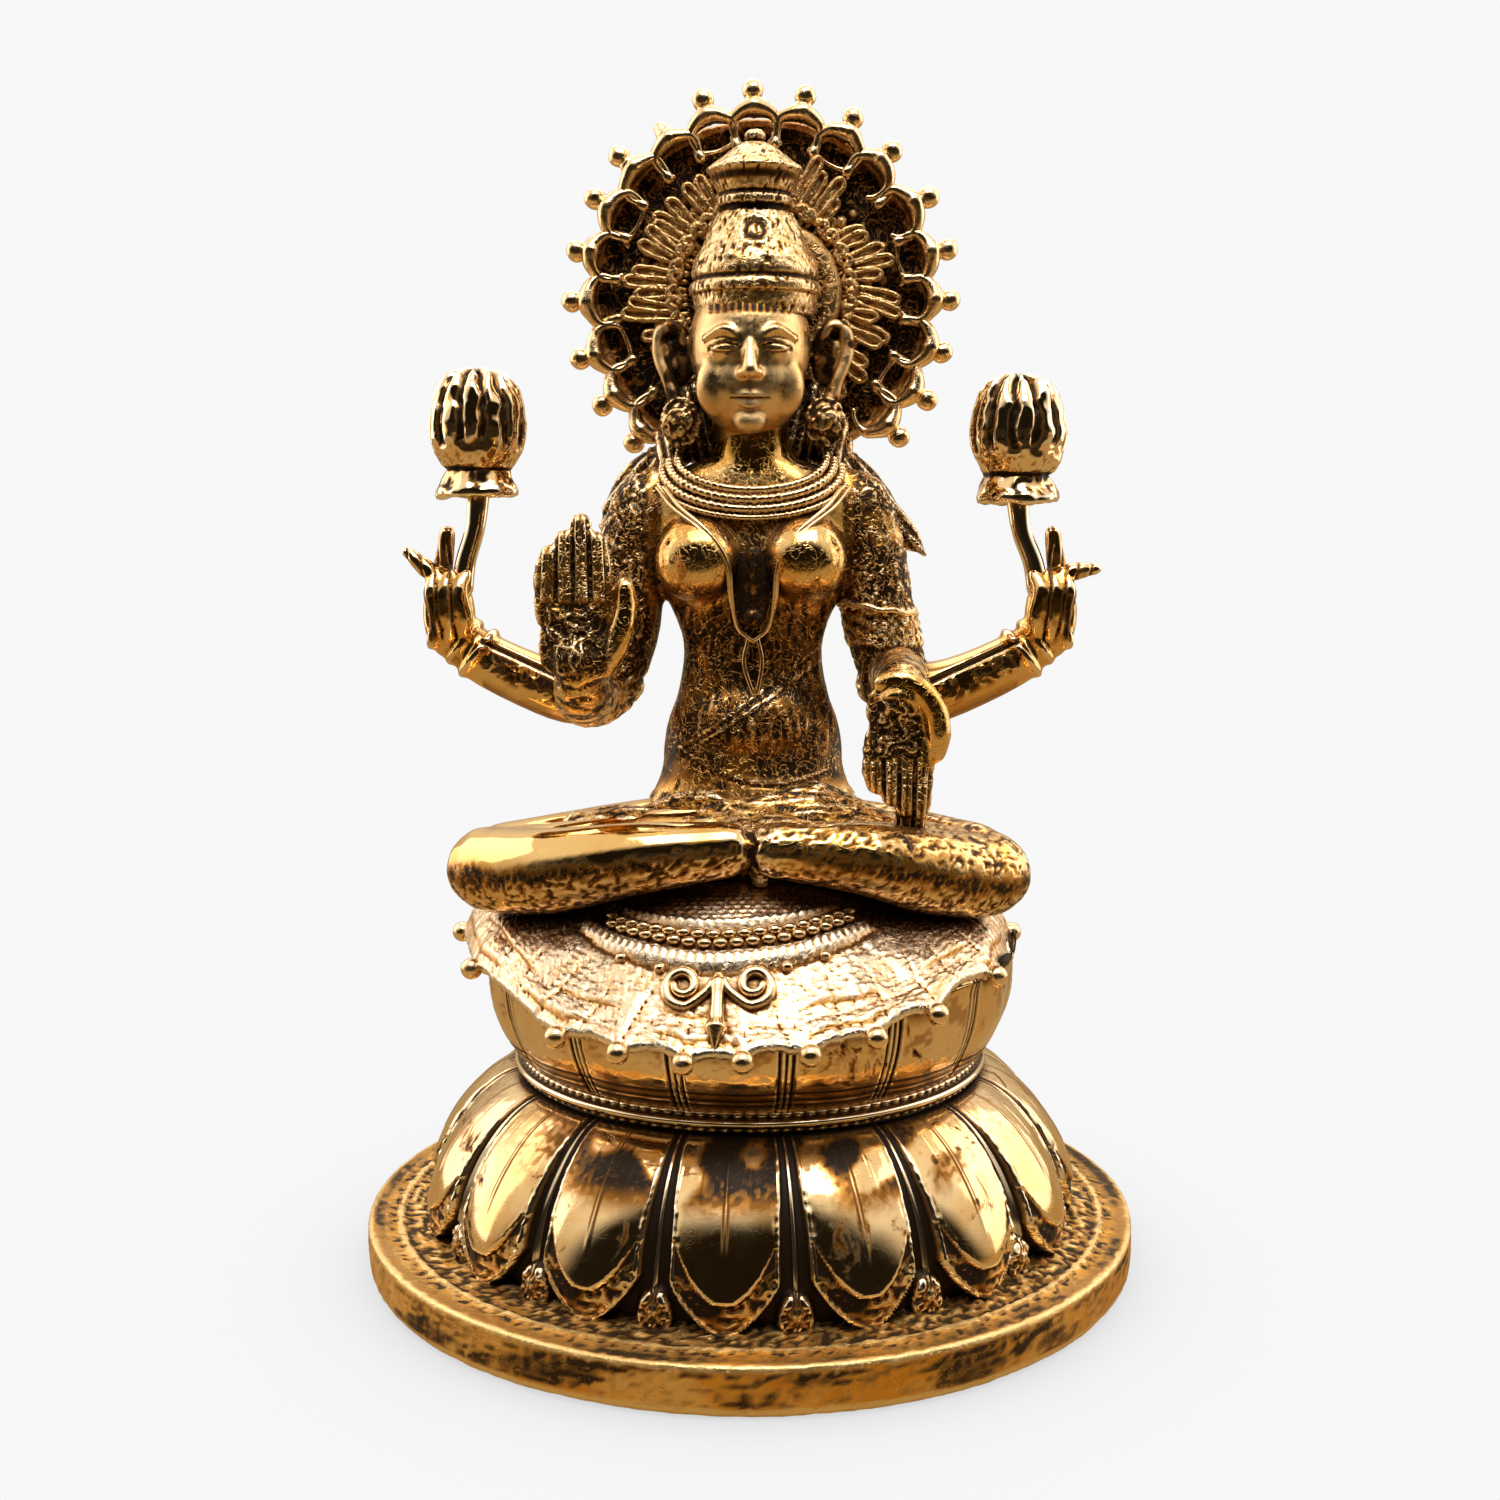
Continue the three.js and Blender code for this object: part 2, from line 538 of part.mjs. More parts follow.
function makeArms() {
  const pieces = [];
  // raised hand, palm to the viewer
  pieces.push(rod([V(-10.6, 0.8, 40.4), V(-12.3, 0.9, 34), V(-13, 0.6, 27), V(-14.9, -0.2, 20.8)],
    [3.6, 3.7, 3.7, 3.8], { sides: 7, steps: 3 }));
  pieces.push(rod([V(-14.8, 2, 20.6), V(-16.4, -6, 20.8), V(-16.2, -14.4, 24)], [3, 3.1, 2.3],
    { sides: 6, steps: 2, across: V(1, 0, 0) }));
  pieces.push(makeOpenHand({
    palm: V(-16.6, -15.4, 28), wide: 3.3, tall: 4, reach: [6.6, 9.4, 10.5, 8.8],
    thumb: [V(-15.4, -15, 24), V(-12.6, -15.2, 26.4), V(-11.5, -15.6, 29.2), V(-11.7, -15.6, 31.4)],
  }));
  // lowered hand, palm to the viewer
  pieces.push(rod([V(10.8, 0.8, 40.4), V(12.4, 0.9, 34), V(13.6, 0.6, 27.4), V(15, -0.6, 22)],
    [3.6, 3.7, 3.7, 3.4], { sides: 7, steps: 3 }));
  pieces.push(rod([V(15, 2, 22.4), V(14.8, -7, 22.6), V(14.6, -14.4, 22.4)], [3, 2.7, 2.4],
    { sides: 6, steps: 2, across: V(1, 0, 0) }));
  pieces.push(makeOpenHand({
    palm: V(14.3, -15, 19.2), wide: 3.2, tall: 4.2, reach: [-7, -8, -8, -7],
    thumb: [V(15.6, -14.6, 23.4), V(17.6, -14.8, 22.4), V(18.6, -15, 20), V(18.4, -15, 17)],
  }));
  pieces.push(rod([V(15.6, -14.4, 12.6), V(15.4, -13.6, 8.6)], [0.6, 0.9], { sides: 5, steps: 1 }));
  // rear arms with the flowers
  for (const side of [-1, 1]) {
    pieces.push(rod([V(side * 13.6, 2, 21.4), V(side * 17.5, 1.9, 20.2), V(side * 21.4, 1.5, 21),
      V(side * 27.8, 0.6, 24.2), V(side * 30.2, 0.2, 26.6)], [2.8, 3.5, 3.3, 2.9, 2.8, 2.1],
    { sides: 6, steps: 5 }));
    const palm = V(side * 31, 0, 28.8);
    const tip = side < 0 ? V(-34.8, -1, 34.9) : V(35.2, -1, 33.3);
    pieces.push(makeHoldingHand(side, palm, tip));
    pieces.push(makeBud(V(side * 29.4, -0.8, 31.2), side < 0 ? V(-27.6, 0, 41.1) : V(27.2, 0, 40.5)));
  }
  return join(pieces);
}

// hair and scarf ends that fall behind the shoulders
function makeScarf() {
  const pieces = [];
  pieces.push(rod([V(-6, 3.4, 46), V(-11.4, 3.2, 42.4), V(-14.3, 2.6, 38.6), V(-14.2, 2, 34)],
    [1.8, 1.7, 1.5, 1], { sides: 5, steps: 4 }));
  pieces.push(rod([V(7, 3.4, 46), V(12, 3.2, 41.6), V(15.6, 2.6, 37.6), V(18.2, 2.2, 34.6)],
    [1.8, 1.7, 1.5, 0.6], { sides: 5, steps: 4 }));
  return join(pieces);
}

function makeFigure() {
  const drawn = join([makeLegs(), makeTorso(), makeHead(), makeHalo(), makeArms(), makeScarf()]);
  return drawn.scale([scale, scale, scale]).translate([0, 0, seatZ]);
}

const whole = join([
  makeDisc(),
  makeLowerLotus(),
  makeRing(),
  makeUpperLotus(),
  makeDrape(),
  makeDrapeCarving(),
  makeFigure(),
]);

const mesh = whole.simplify(sliver).getMesh();
const geometry = new THREE.BufferGeometry();
geometry.setAttribute('position', new THREE.BufferAttribute(mesh.vertProperties, 3));
geometry.setIndex(new THREE.BufferAttribute(mesh.triVerts, 1));
geometry.computeVertexNormals();

const brass = new THREE.MeshStandardMaterial({ color: 0xc8923f, roughness: 0.3, metalness: 1 });
const figure = new THREE.Mesh(geometry, brass);
figure.name = 'lakshmi_figure';

const model = new THREE.Group();
model.add(figure);
export default model;
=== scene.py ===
import bpy
import bmesh
import numpy
from math import atan2, cos, degrees, hypot, pi, radians, sin, tau
from mathutils import Matrix, Vector
from mathutils.noise import noise


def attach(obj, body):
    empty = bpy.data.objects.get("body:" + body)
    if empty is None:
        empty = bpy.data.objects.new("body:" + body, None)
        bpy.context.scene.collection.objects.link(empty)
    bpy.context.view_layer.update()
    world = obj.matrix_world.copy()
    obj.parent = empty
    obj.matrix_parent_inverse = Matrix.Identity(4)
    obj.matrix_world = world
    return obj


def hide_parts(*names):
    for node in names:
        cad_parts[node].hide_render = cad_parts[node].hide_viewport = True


# Dresses a small cast brass goddess figure: base disc, double lotus, cloth, body, arms, crown and halo.
# Shapes are worked out in millimetres and brought to metres when a piece is finished.
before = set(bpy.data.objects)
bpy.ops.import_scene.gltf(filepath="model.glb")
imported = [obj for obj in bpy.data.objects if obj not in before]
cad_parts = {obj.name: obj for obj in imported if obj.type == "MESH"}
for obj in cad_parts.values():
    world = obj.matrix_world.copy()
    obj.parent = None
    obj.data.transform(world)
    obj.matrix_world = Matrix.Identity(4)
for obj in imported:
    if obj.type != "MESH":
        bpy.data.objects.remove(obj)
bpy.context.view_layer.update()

toMetres = 0.001
seat = 38.3  # height of the seat that the figure is drawn from
weldGap = 0.004  # points closer than this become one
seamGap = 0.01  # the same along the seams of a shape that closes on itself


def mix(low, high, share):
    return low + (high - low) * share


# a soft step from 0 at low to 1 at high
def ramp(low, high, value):
    share = min(max((value - low) / (high - low), 0.0), 1.0)
    return share * share * (3 - 2 * share)


# 1 at the centre, falling softly to 0 at this width from it
def ridge(value, centre, width):
    share = max(0.0, 1 - abs(value - centre) / width)
    return share * share * (3 - 2 * share)


# 1 from full to fading, and 0 before start and after end
def window(start, full, fading, end, value):
    return ramp(start, full, value) * (1 - ramp(fading, end, value))


def noiseAt(x, y, z):
    return noise(Vector((x, y, z)))


# a value read from pairs of a place and its value
def tabled(pairs, place):
    for (start, first), (end, last) in zip(pairs, pairs[1:]):
        if place <= end:
            return mix(first, last, max(place - start, 0.0) / (end - start))
    return pairs[-1][1]


# a value read from an even list by a share of its length
def between(values, share):
    place = share * (len(values) - 1)
    low = min(int(place), len(values) - 2)
    return mix(values[low], values[low + 1], place - low)


# a point of the figure, drawn from the seat
def fig(x, y, z):
    return Vector((x, y, z + seat))


# points of the figure, with side -1 for the mirrored limb and a shift sideways after that
def figs(points, side=1, shift=0.0):
    return [fig(side * x + shift, y, z) for x, y, z in points]


# the angles once round a circle, with both ends
def turns(count):
    return [tau * i / count for i in range(count + 1)]


def shown(name, data):
    item = bpy.data.objects.new(name, data)
    bpy.context.collection.objects.link(item)
    return item


# a smooth curve through the points, in count even steps
def smoothPath(points, count):
    spots = [Vector(point) for point in points]
    spots = [spots[0] * 2 - spots[1]] + spots + [spots[-1] * 2 - spots[-2]]
    path = []
    for i in range(count + 1):
        place = i / count * (len(spots) - 3)
        k = min(int(place), len(spots) - 4)
        t = place - k
        a, b, c, d = spots[k:k + 4]
        path.append(0.5 * (2 * b + (c - a) * t + (2 * a - 5 * b + 4 * c - d) * t * t
                           + (3 * b - 3 * c + d - a) * t ** 3))
    return path


# where a unit circle goes, from its two half widths and the way along
def ringPlace(centre, wide, thick, along):
    place = Matrix((wide, thick, along)).transposed().to_4x4()
    place.translation = centre
    return place


# adds one bmesh to another
def pour(part, bm):
    scratch = bpy.data.meshes.new("scratch")
    part.to_mesh(scratch)
    part.free()
    bm.from_mesh(scratch)
    bpy.data.meshes.remove(scratch)


# draws a rim of edges out into a fresh row of points, and returns those and the new rim
def drawOut(bm, edges):
    made = bmesh.ops.extrude_edge_only(bm, edges=edges)["geom"]
    fresh = [item for item in made if isinstance(item, bmesh.types.BMVert)]
    both = set(fresh)
    rim = [item for item in made if isinstance(item, bmesh.types.BMEdge) and set(item.verts) <= both]
    return fresh, rim


def closeHoles(bm):
    bmesh.ops.holes_fill(bm, edges=[edge for edge in bm.edges if edge.is_boundary], sides=0)


# a closed skin through unit circles set by the matrices
def loft(whole, places, sides):
    bm = bmesh.new()
    ring = bmesh.ops.create_circle(bm, cap_ends=True, segments=sides, radius=1, matrix=places[0])["verts"]
    edges = list({edge for vert in ring for edge in vert.link_edges})
    for before, after in zip(places, places[1:]):
        fresh, edges = drawOut(bm, edges)
        bmesh.ops.transform(bm, matrix=after @ before.inverted(), verts=fresh)
    bmesh.ops.contextual_create(bm, geom=edges)
    pour(bm, whole)


# a tube of changing radius along a smooth curve, with rounded ends
def limb(bm, points, radii, sides=12, steps=14, across=(0, 1, 0), widen=1.0):
    path = smoothPath(points, steps)
    places = []
    for i, spot in enumerate(path):
        along = (path[min(i + 1, steps)] - path[max(i - 1, 0)]).normalized()
        wide = Vector(across)
        wide = (wide - along * wide.dot(along)).normalized()
        thick = along.cross(wide)
        radius = between(radii, i / steps)
        rings = [(0.0, 1.0)]  # slip along and size, each as a share of the radius
        if i == 0:
            rings = [(-0.9, 0.35), (-0.55, 0.8), (0.0, 1.0)]
        elif i == steps:
            rings = [(0.0, 1.0), (0.55, 0.8), (0.9, 0.35)]
        for slip, size in rings:
            places.append(ringPlace(spot + along * radius * slip, wide * radius * widen * size,
                                    thick * radius * size, along))
    loft(bm, places, sides)


def ball(bm, centre, half, turn=None, fine=14):
    place = Matrix.Translation(centre) @ (turn or Matrix.Identity(4)) @ Matrix.Diagonal((*half, 1))
    bmesh.ops.create_uvsphere(bm, u_segments=fine, v_segments=max(6, fine * 2 // 3), radius=1, matrix=place)


def bead(bm, centre, radius, fine=2):
    bmesh.ops.create_icosphere(bm, subdivisions=fine, radius=radius, matrix=Matrix.Translation(centre))


# the profile with more points, about this far apart
def finer(profile, spacing):
    points = [Vector(profile[0])]
    for end in profile[1:]:
        start = points[-1]
        parts = max(1, round((Vector(end) - start).length / spacing))
        points += [start.lerp(Vector(end), (i + 1) / parts) for i in range(parts)]
    return points


# a profile of reaches and heights turned full round
def lathe(bm, profile, steps, centre=(0, 0)):
    verts = [bm.verts.new((r + centre[0], centre[1], z)) for r, z in profile]
    edges = [bm.edges.new(pair) for pair in zip(verts, verts[1:])]
    bmesh.ops.spin(bm, geom=verts + edges, cent=(*centre, 0), axis=(0, 0, 1), dvec=(0, 0, 0),
                   angle=tau, steps=steps, use_merge=True, use_duplicate=False)
    bmesh.ops.remove_doubles(bm, verts=bm.verts, dist=0.001)


# one petal's surface from shape(across -1..1, up 0..1) -> radius, height, dirt, repeated round the axis,
# with fine petals from side to side over the front and coarser ones behind
def petalRing(look, shape):
    bm = bmesh.new()
    dirtAndShade = bm.verts.layers.float.new("dirtAndShade")
    count = look["count"]
    pitch = tau / count
    front = count // 2 + 1
    first = -(count // 4)
    halves = (first, front, look["columns"]), (first + front, count - front, look["columns"] // 3)
    for start, petals, columns in halves:
        verts = bmesh.ops.create_grid(bm, x_segments=columns, y_segments=look["rows"], size=0.5)["verts"]
        for vert in verts:
            radius, height, vert[dirtAndShade] = shape(vert.co.x * 2, vert.co.y + 0.5)
            angle = radians(look["turn"]) + (start + vert.co.x) * pitch
            vert.co = (radius * sin(angle), -radius * cos(angle), height)
        edges = {edge for vert in verts for edge in vert.link_edges}
        faces = {face for vert in verts for face in vert.link_faces}
        bmesh.ops.spin(bm, geom=[*verts, *edges, *faces], cent=(0, 0, 0), axis=(0, 0, 1), dvec=(0, 0, 0),
                       angle=pitch * (petals - 1), steps=petals - 1, use_merge=False, use_duplicate=True)
    bmesh.ops.remove_doubles(bm, verts=bm.verts, dist=seamGap)
    closeHoles(bm)
    return bm


# joins overlapping shapes into one skin of even squares
def fused(bm, voxel, smoothing):
    mesh = bpy.data.meshes.new("fusing")
    bm.to_mesh(mesh)
    bm.free()
    body = shown("fusing", mesh)
    remesh = body.modifiers.new("remesh", "REMESH")
    remesh.mode = "VOXEL"
    remesh.voxel_size = voxel
    graph = bpy.context.evaluated_depsgraph_get()
    whole = bmesh.new()
    whole.from_mesh(body.evaluated_get(graph).to_mesh())
    bpy.data.objects.remove(body)
    bpy.data.meshes.remove(mesh)
    for _ in range(smoothing):
        bmesh.ops.smooth_vert(whole, verts=whole.verts, factor=0.5,
                              use_axis_x=True, use_axis_y=True, use_axis_z=True)
    return whole


# moves each point along its normal by relief(point, normal) -> rise, dirt and painted shade, and how smooth
# the metal is left
def carve(bm, relief):
    dirtAndShade = bm.verts.layers.float.get("dirtAndShade") or bm.verts.layers.float.new("dirtAndShade")
    smooth = bm.verts.layers.float.get("plain") or bm.verts.layers.float.new("plain")
    bmesh.ops.recalc_face_normals(bm, faces=bm.faces)
    moves = []
    for vert in bm.verts:
        rise, dark, *rest = relief(vert.co, vert.normal)
        moves.append(vert.normal * rise)
        vert[dirtAndShade] = max(vert[dirtAndShade], dark)
        if rest:
            vert[smooth] = rest[0]
    for vert, move in zip(bm.verts, moves):
        vert.co += move


hollowRounds = 7  # rounds of smoothing that give the surroundings of a point


# writes how deep each point lies under its surroundings, for patina in hollows and wear on edges
def markHollows(mesh):
    count = len(mesh.vertices)
    spots = numpy.empty(count * 3)
    mesh.vertices.foreach_get("co", spots)
    spots = spots.reshape(-1, 3)
    normals = numpy.empty(count * 3)
    mesh.vertex_normals.foreach_get("vector", normals)
    normals = normals.reshape(-1, 3)
    edges = numpy.empty(len(mesh.edges) * 2, dtype=int)
    mesh.edges.foreach_get("vertices", edges)
    a, b = edges.reshape(-1, 2).T
    links = numpy.maximum(numpy.bincount(a, minlength=count) + numpy.bincount(b, minlength=count), 1)
    soft = spots.copy()
    for _ in range(hollowRounds):
        for axis in range(3):
            line = soft[:, axis]
            total = numpy.bincount(a, line[b], count) + numpy.bincount(b, line[a], count)
            soft[:, axis] = 0.5 * line + 0.5 * total / links
    depth = ((soft - spots) * normals).sum(axis=1) / toMetres
    mesh.attributes.new("hollow", "FLOAT", "POINT").data.foreach_set("value", depth)


# brings a shape to metres as a piece of the visual model that stands in for the casting
def finishPiece(bm, name, finish):
    bmesh.ops.remove_doubles(bm, verts=bm.verts, dist=weldGap)
    bmesh.ops.recalc_face_normals(bm, faces=bm.faces)
    bmesh.ops.scale(bm, vec=(toMetres, toMetres, toMetres), verts=bm.verts)
    mesh = bpy.data.meshes.new(name)
    bm.to_mesh(mesh)
    bm.free()
    mesh.shade_smooth()
    for layer in ("dirtAndShade", "plain"):
        if layer not in mesh.attributes:
            mesh.attributes.new(layer, "FLOAT", "POINT")
    markHollows(mesh)
    mesh.materials.append(finish)
    piece = shown(name, mesh)
    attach(piece, "root")
    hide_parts("lakshmi_figure")


# adds a shader node: settings are its own, and inputs gives its sockets a value or another node's output
def addNode(tree, kind, inputs=None, **settings):
    made = tree.nodes.new("ShaderNode" + kind)
    for key, value in settings.items():
        setattr(made, key, value)
    for key, value in (inputs or {}).items():
        if isinstance(value, bpy.types.NodeSocket):
            tree.links.new(value, made.inputs[key])
        else:
            made.inputs[key].default_value = value
    return made


def blended(tree, share, first, second):
    inputs = {"Factor": share, "A": first, "B": second}
    return addNode(tree, "Mix", inputs, data_type="RGBA").outputs["Result"]


def faded(tree, source, low, high, start=0.0, end=1.0):
    inputs = {"Value": source, "From Min": low, "From Max": high, "To Min": start, "To Max": end}
    return addNode(tree, "MapRange", inputs, interpolation_type="SMOOTHSTEP").outputs["Result"]


# camera, floor and light, in metres

view = {"lens": 43.2, "film": 36, "near": 0.005, "place": (0, -0.1852, 0.0767), "down": 7.34}


def makeCamera():
    lens = bpy.data.cameras.new("photoCamera")
    lens.lens = view["lens"]
    lens.sensor_width = view["film"]
    lens.clip_start = view["near"]
    camera = shown("photoCamera", lens)
    camera.location = view["place"]
    camera.rotation_euler = (radians(90 - view["down"]), 0, 0)
    bpy.context.scene.camera = camera


studio = {
    "floorHalf": 3,
    "paper": (0.935, 0.935, 0.935, 1),
    # painted shadow on the paper close under the disc
    "paperShade": (0.62, 0.62, 0.62, 1),  # close under the disc
    "shadeReach": 0.02,
    # painted glow of the floor as a warm table, seen only in the brass
    "tableGlow": (0.46, 0.32, 0.15, 1),  # what the brass mirrors of the floor
    "tableDark": (0.030, 0.020, 0.010, 1),
    "tableEdges": (-0.085, -0.17),  # from here forwards the mirrored floor fades into the dark
    "lamps": (  # place, size across and deep, watts
        ((0.03, -0.14, 0.42), 0.34, 0.22, 1.00),
        ((-0.34, 0.12, 0.18), 0.34, 0.40, 0.50),
        ((0.34, 0.12, 0.18), 0.34, 0.40, 0.50),
        ((0.0, 0.26, 0.40), 0.40, 0.24, 0.50),
    ),
    "aim": (0, 0, 0.06),
    "backdrop": (0.935, 0.935, 0.935, 1),
    "sky": ((0.0, (0.50, 0.38, 0.22, 1)), (0.6, (0.98, 0.91, 0.79, 1))),  # from the horizon upwards
    "unlit": (0.012, 0.009, 0.005, 1),
    "darkDirection": (0, -0.86, -0.5),  # the unlit side of the studio, round the camera
    "darkEdges": (0.04, 0.32),  # cosines of the angles where the dark starts and is full
}


def makeFloor():
    bm = bmesh.new()
    bmesh.ops.create_grid(bm, x_segments=1, y_segments=1, size=studio["floorHalf"])
    mesh = bpy.data.meshes.new("studioFloor")
    bm.to_mesh(mesh)
    bm.free()
    floor = shown("studioFloor", mesh)
    paper = bpy.data.materials.new("studioPaper")
    paper.use_nodes = True
    mesh.materials.append(paper)
    tree = paper.node_tree
    tree.nodes.remove(tree.nodes["Principled BSDF"])
    # the camera sees pale paper that glows evenly, with painted shadow close under the disc
    under = addNode(tree, "AmbientOcclusion", {"Distance": studio["shadeReach"]}).outputs["AO"]
    seen = addNode(tree, "Emission", {"Color": blended(tree, under, studio["paperShade"], studio["paper"])})
    # painted glow: every other ray sees the paper glow as a warm table, fading into the dark forwards, which
    # the brass mirrors
    spot = addNode(tree, "TexCoord").outputs["Object"]
    forwards = addNode(tree, "SeparateXYZ", {"Vector": spot}).outputs["Y"]
    ahead = faded(tree, forwards, *studio["tableEdges"])
    mirrored = blended(tree, ahead, studio["tableGlow"], studio["tableDark"])
    table = addNode(tree, "Emission", {"Color": mirrored})
    toCamera = addNode(tree, "LightPath").outputs["Is Camera Ray"]
    either = addNode(tree, "MixShader", {0: toCamera, 1: table.outputs[0], 2: seen.outputs[0]})
    tree.links.new(either.outputs[0], tree.nodes["Material Output"].inputs["Surface"])


def makeLamps():
    for i, (place, across, deep, watts) in enumerate(studio["lamps"]):
        lamp = bpy.data.lights.new(f"softbox{i}", "AREA")
        lamp.shape = "RECTANGLE"
        lamp.size = across
        lamp.size_y = deep
        lamp.energy = watts
        light = shown(f"softbox{i}", lamp)
        light.location = place
        aim = Vector(studio["aim"]) - Vector(place)
        light.rotation_euler = aim.to_track_quat("-Z", "Y").to_euler()


# a pale studio all round, unlit behind the camera, so that polished metal has something dark to mirror
def makeSky():
    world = bpy.data.worlds.new("studioSky")
    world.use_nodes = True
    bpy.context.scene.world = world
    tree = world.node_tree
    direction = addNode(tree, "TexCoord").outputs["Generated"]
    height = addNode(tree, "SeparateXYZ", {"Vector": direction}).outputs["Z"]
    sky = addNode(tree, "ValToRGB", {"Fac": height})
    for stop, (place, colour) in zip(sky.color_ramp.elements, studio["sky"]):
        stop.position = place
        stop.color = colour
    dark = Vector(studio["darkDirection"]).normalized()
    facing = addNode(tree, "VectorMath", {0: direction, 1: dark}, operation="DOT_PRODUCT").outputs["Value"]
    share = faded(tree, facing, *studio["darkEdges"])
    shaded = blended(tree, share, sky.outputs["Color"], studio["unlit"])
    toCamera = addNode(tree, "LightPath").outputs["Is Camera Ray"]
    seen = blended(tree, toCamera, shaded, studio["backdrop"])
    tree.links.new(seen, tree.nodes["Background"].inputs["Color"])


# brass with dark patina and painted shade where the piece's own layers say so, patina in its hollows, and
# painted shade in close corners
def brassFinish(name, look):
    finish = bpy.data.materials.new(name)
    finish.use_nodes = True
    tree = finish.node_tree
    shader = tree.nodes["Principled BSDF"]
    spot = addNode(tree, "TexCoord").outputs["Object"]

    def fade(source, low, high, start=0.0, end=1.0):
        return faded(tree, source, low, high, start, end)

    def math(operation, first, second=0.0, clamp=False):
        return addNode(tree, "Math", {0: first, 1: second}, operation=operation, use_clamp=clamp).outputs[0]

    def times(first, second, clamp=False):
        return math("MULTIPLY", first, second, clamp)

    def without(part, whole=1.0):
        return math("SUBTRACT", whole, part)

    def grain(scale, detail=4.0, rough=0.55, twist=0.0):
        inputs = {"Vector": spot, "Scale": scale, "Detail": detail, "Roughness": rough, "Distortion": twist}
        return addNode(tree, "TexNoise", inputs).outputs["Fac"]

    def layer(name):
        return addNode(tree, "Attribute", attribute_name=name).outputs["Fac"]

    hollow, dirtAndShade, plain = layer("hollow"), layer("dirtAndShade"), layer("plain")
    carved = without(plain)  # 0 where the metal is left smooth
    # painted shade: darker where other surfaces come close
    closeness = addNode(tree, "AmbientOcclusion", {"Distance": look["shadeReach"]}, samples=6).outputs["AO"]
    shade = fade(closeness, look["shadeDark"], look["shadeLight"], 1.0, 0.0)
    pits = fade(hollow, look["pitStart"], look["pitEnd"])
    worn = fade(hollow, -0.02, -0.10)
    stain = times(fade(grain(look["cloudScale"], 6, 0.6, 1.2), look["stainLow"], look["stainHigh"]), carved)
    patinaAndShade = times(dirtAndShade, look["dirtAndShadeShare"])
    for darker in (shade, pits, stain):
        patinaAndShade = math("MAXIMUM", patinaAndShade, darker)
    # fine chasing: thin bright lines that wander through the dark
    threads = grain(look["threadScale"], 2.5, 0.5, look["threadTwist"])
    lines = fade(math("ABSOLUTE", without(0.5, threads)), 0.0, look["threadWidth"], 1.0, 0.0)
    patinaAndShade = times(patinaAndShade, without(times(lines, look["threadShare"])), clamp=True)
    patinaAndShade = times(patinaAndShade, without(times(worn, 0.8)), clamp=True)
    clouds = fade(grain(look["cloudScale"] * 0.6, 5, 0.6, 0.5), 0.38, 0.62)
    gold = blended(tree, clouds, look["gold"], look["goldWarm"])
    gold = blended(tree, worn, gold, look["goldPale"])
    # amber stands for tarnish and for warm light bounced between the brass surfaces, a painted bounce in the
    # darker parts
    tarnishedAndShaded = blended(tree, fade(patinaAndShade, 0.0, 0.55), gold, look["amberTarnishAndBounce"])
    colour = blended(tree, fade(patinaAndShade, 0.32, 0.88), tarnishedAndShaded, look["patinaAndShade"])
    rough = look["rough"]
    smudge = fade(grain(look["cloudScale"] * 2.5, 5, 0.7), 0.35, 0.7, rough * 0.75, rough * 1.4)
    dull = math("ADD", smudge, times(patinaAndShade, look["patinaRough"] - rough), clamp=True)
    dull = math("SUBTRACT", dull, times(plain, rough * 0.5), clamp=True)
    surface = math("ADD", times(grain(look["grainScale"], 4, 0.6), look["grainHeight"]),
                   times(lines, look["threadHeight"]))
    surface = times(surface, math("ADD", times(carved, 0.85), 0.15))
    bump = addNode(tree, "Bump", {"Strength": look["bumpStrength"], "Distance": 0.0002, "Height": surface})
    shader.inputs["Specular IOR Level"].default_value = 0.2
    metal = fade(patinaAndShade, 0.0, 1.0, 1.0, look["patinaMetal"])
    for socket, source in (("Base Color", colour), ("Metallic", metal), ("Roughness", dull),
                           ("Normal", bump.outputs["Normal"])):
        tree.links.new(source, shader.inputs[socket])
    return finish


polished = {
    "gold": (0.90, 0.59, 0.24, 1), "goldWarm": (0.84, 0.45, 0.10, 1), "goldPale": (1.0, 0.80, 0.52, 1),
    "amberTarnishAndBounce": (0.40, 0.16, 0.020, 1), "patinaAndShade": (0.020, 0.011, 0.005, 1), "patinaMetal": 0.35,
    "rough": 0.12, "patinaRough": 0.5,
    "shadeReach": 0.003, "shadeDark": 0.40, "shadeLight": 0.88, "pitStart": 0.02, "pitEnd": 0.10,
    "cloudScale": 160.0, "stainLow": 0.58, "stainHigh": 0.72, "dirtAndShadeShare": 1.0,
    "threadScale": 520.0, "threadTwist": 1.5, "threadWidth": 0.02, "threadShare": 0.4,
    "threadHeight": 0.2, "grainScale": 1400.0, "grainHeight": 0.15, "bumpStrength": 0.2,
}
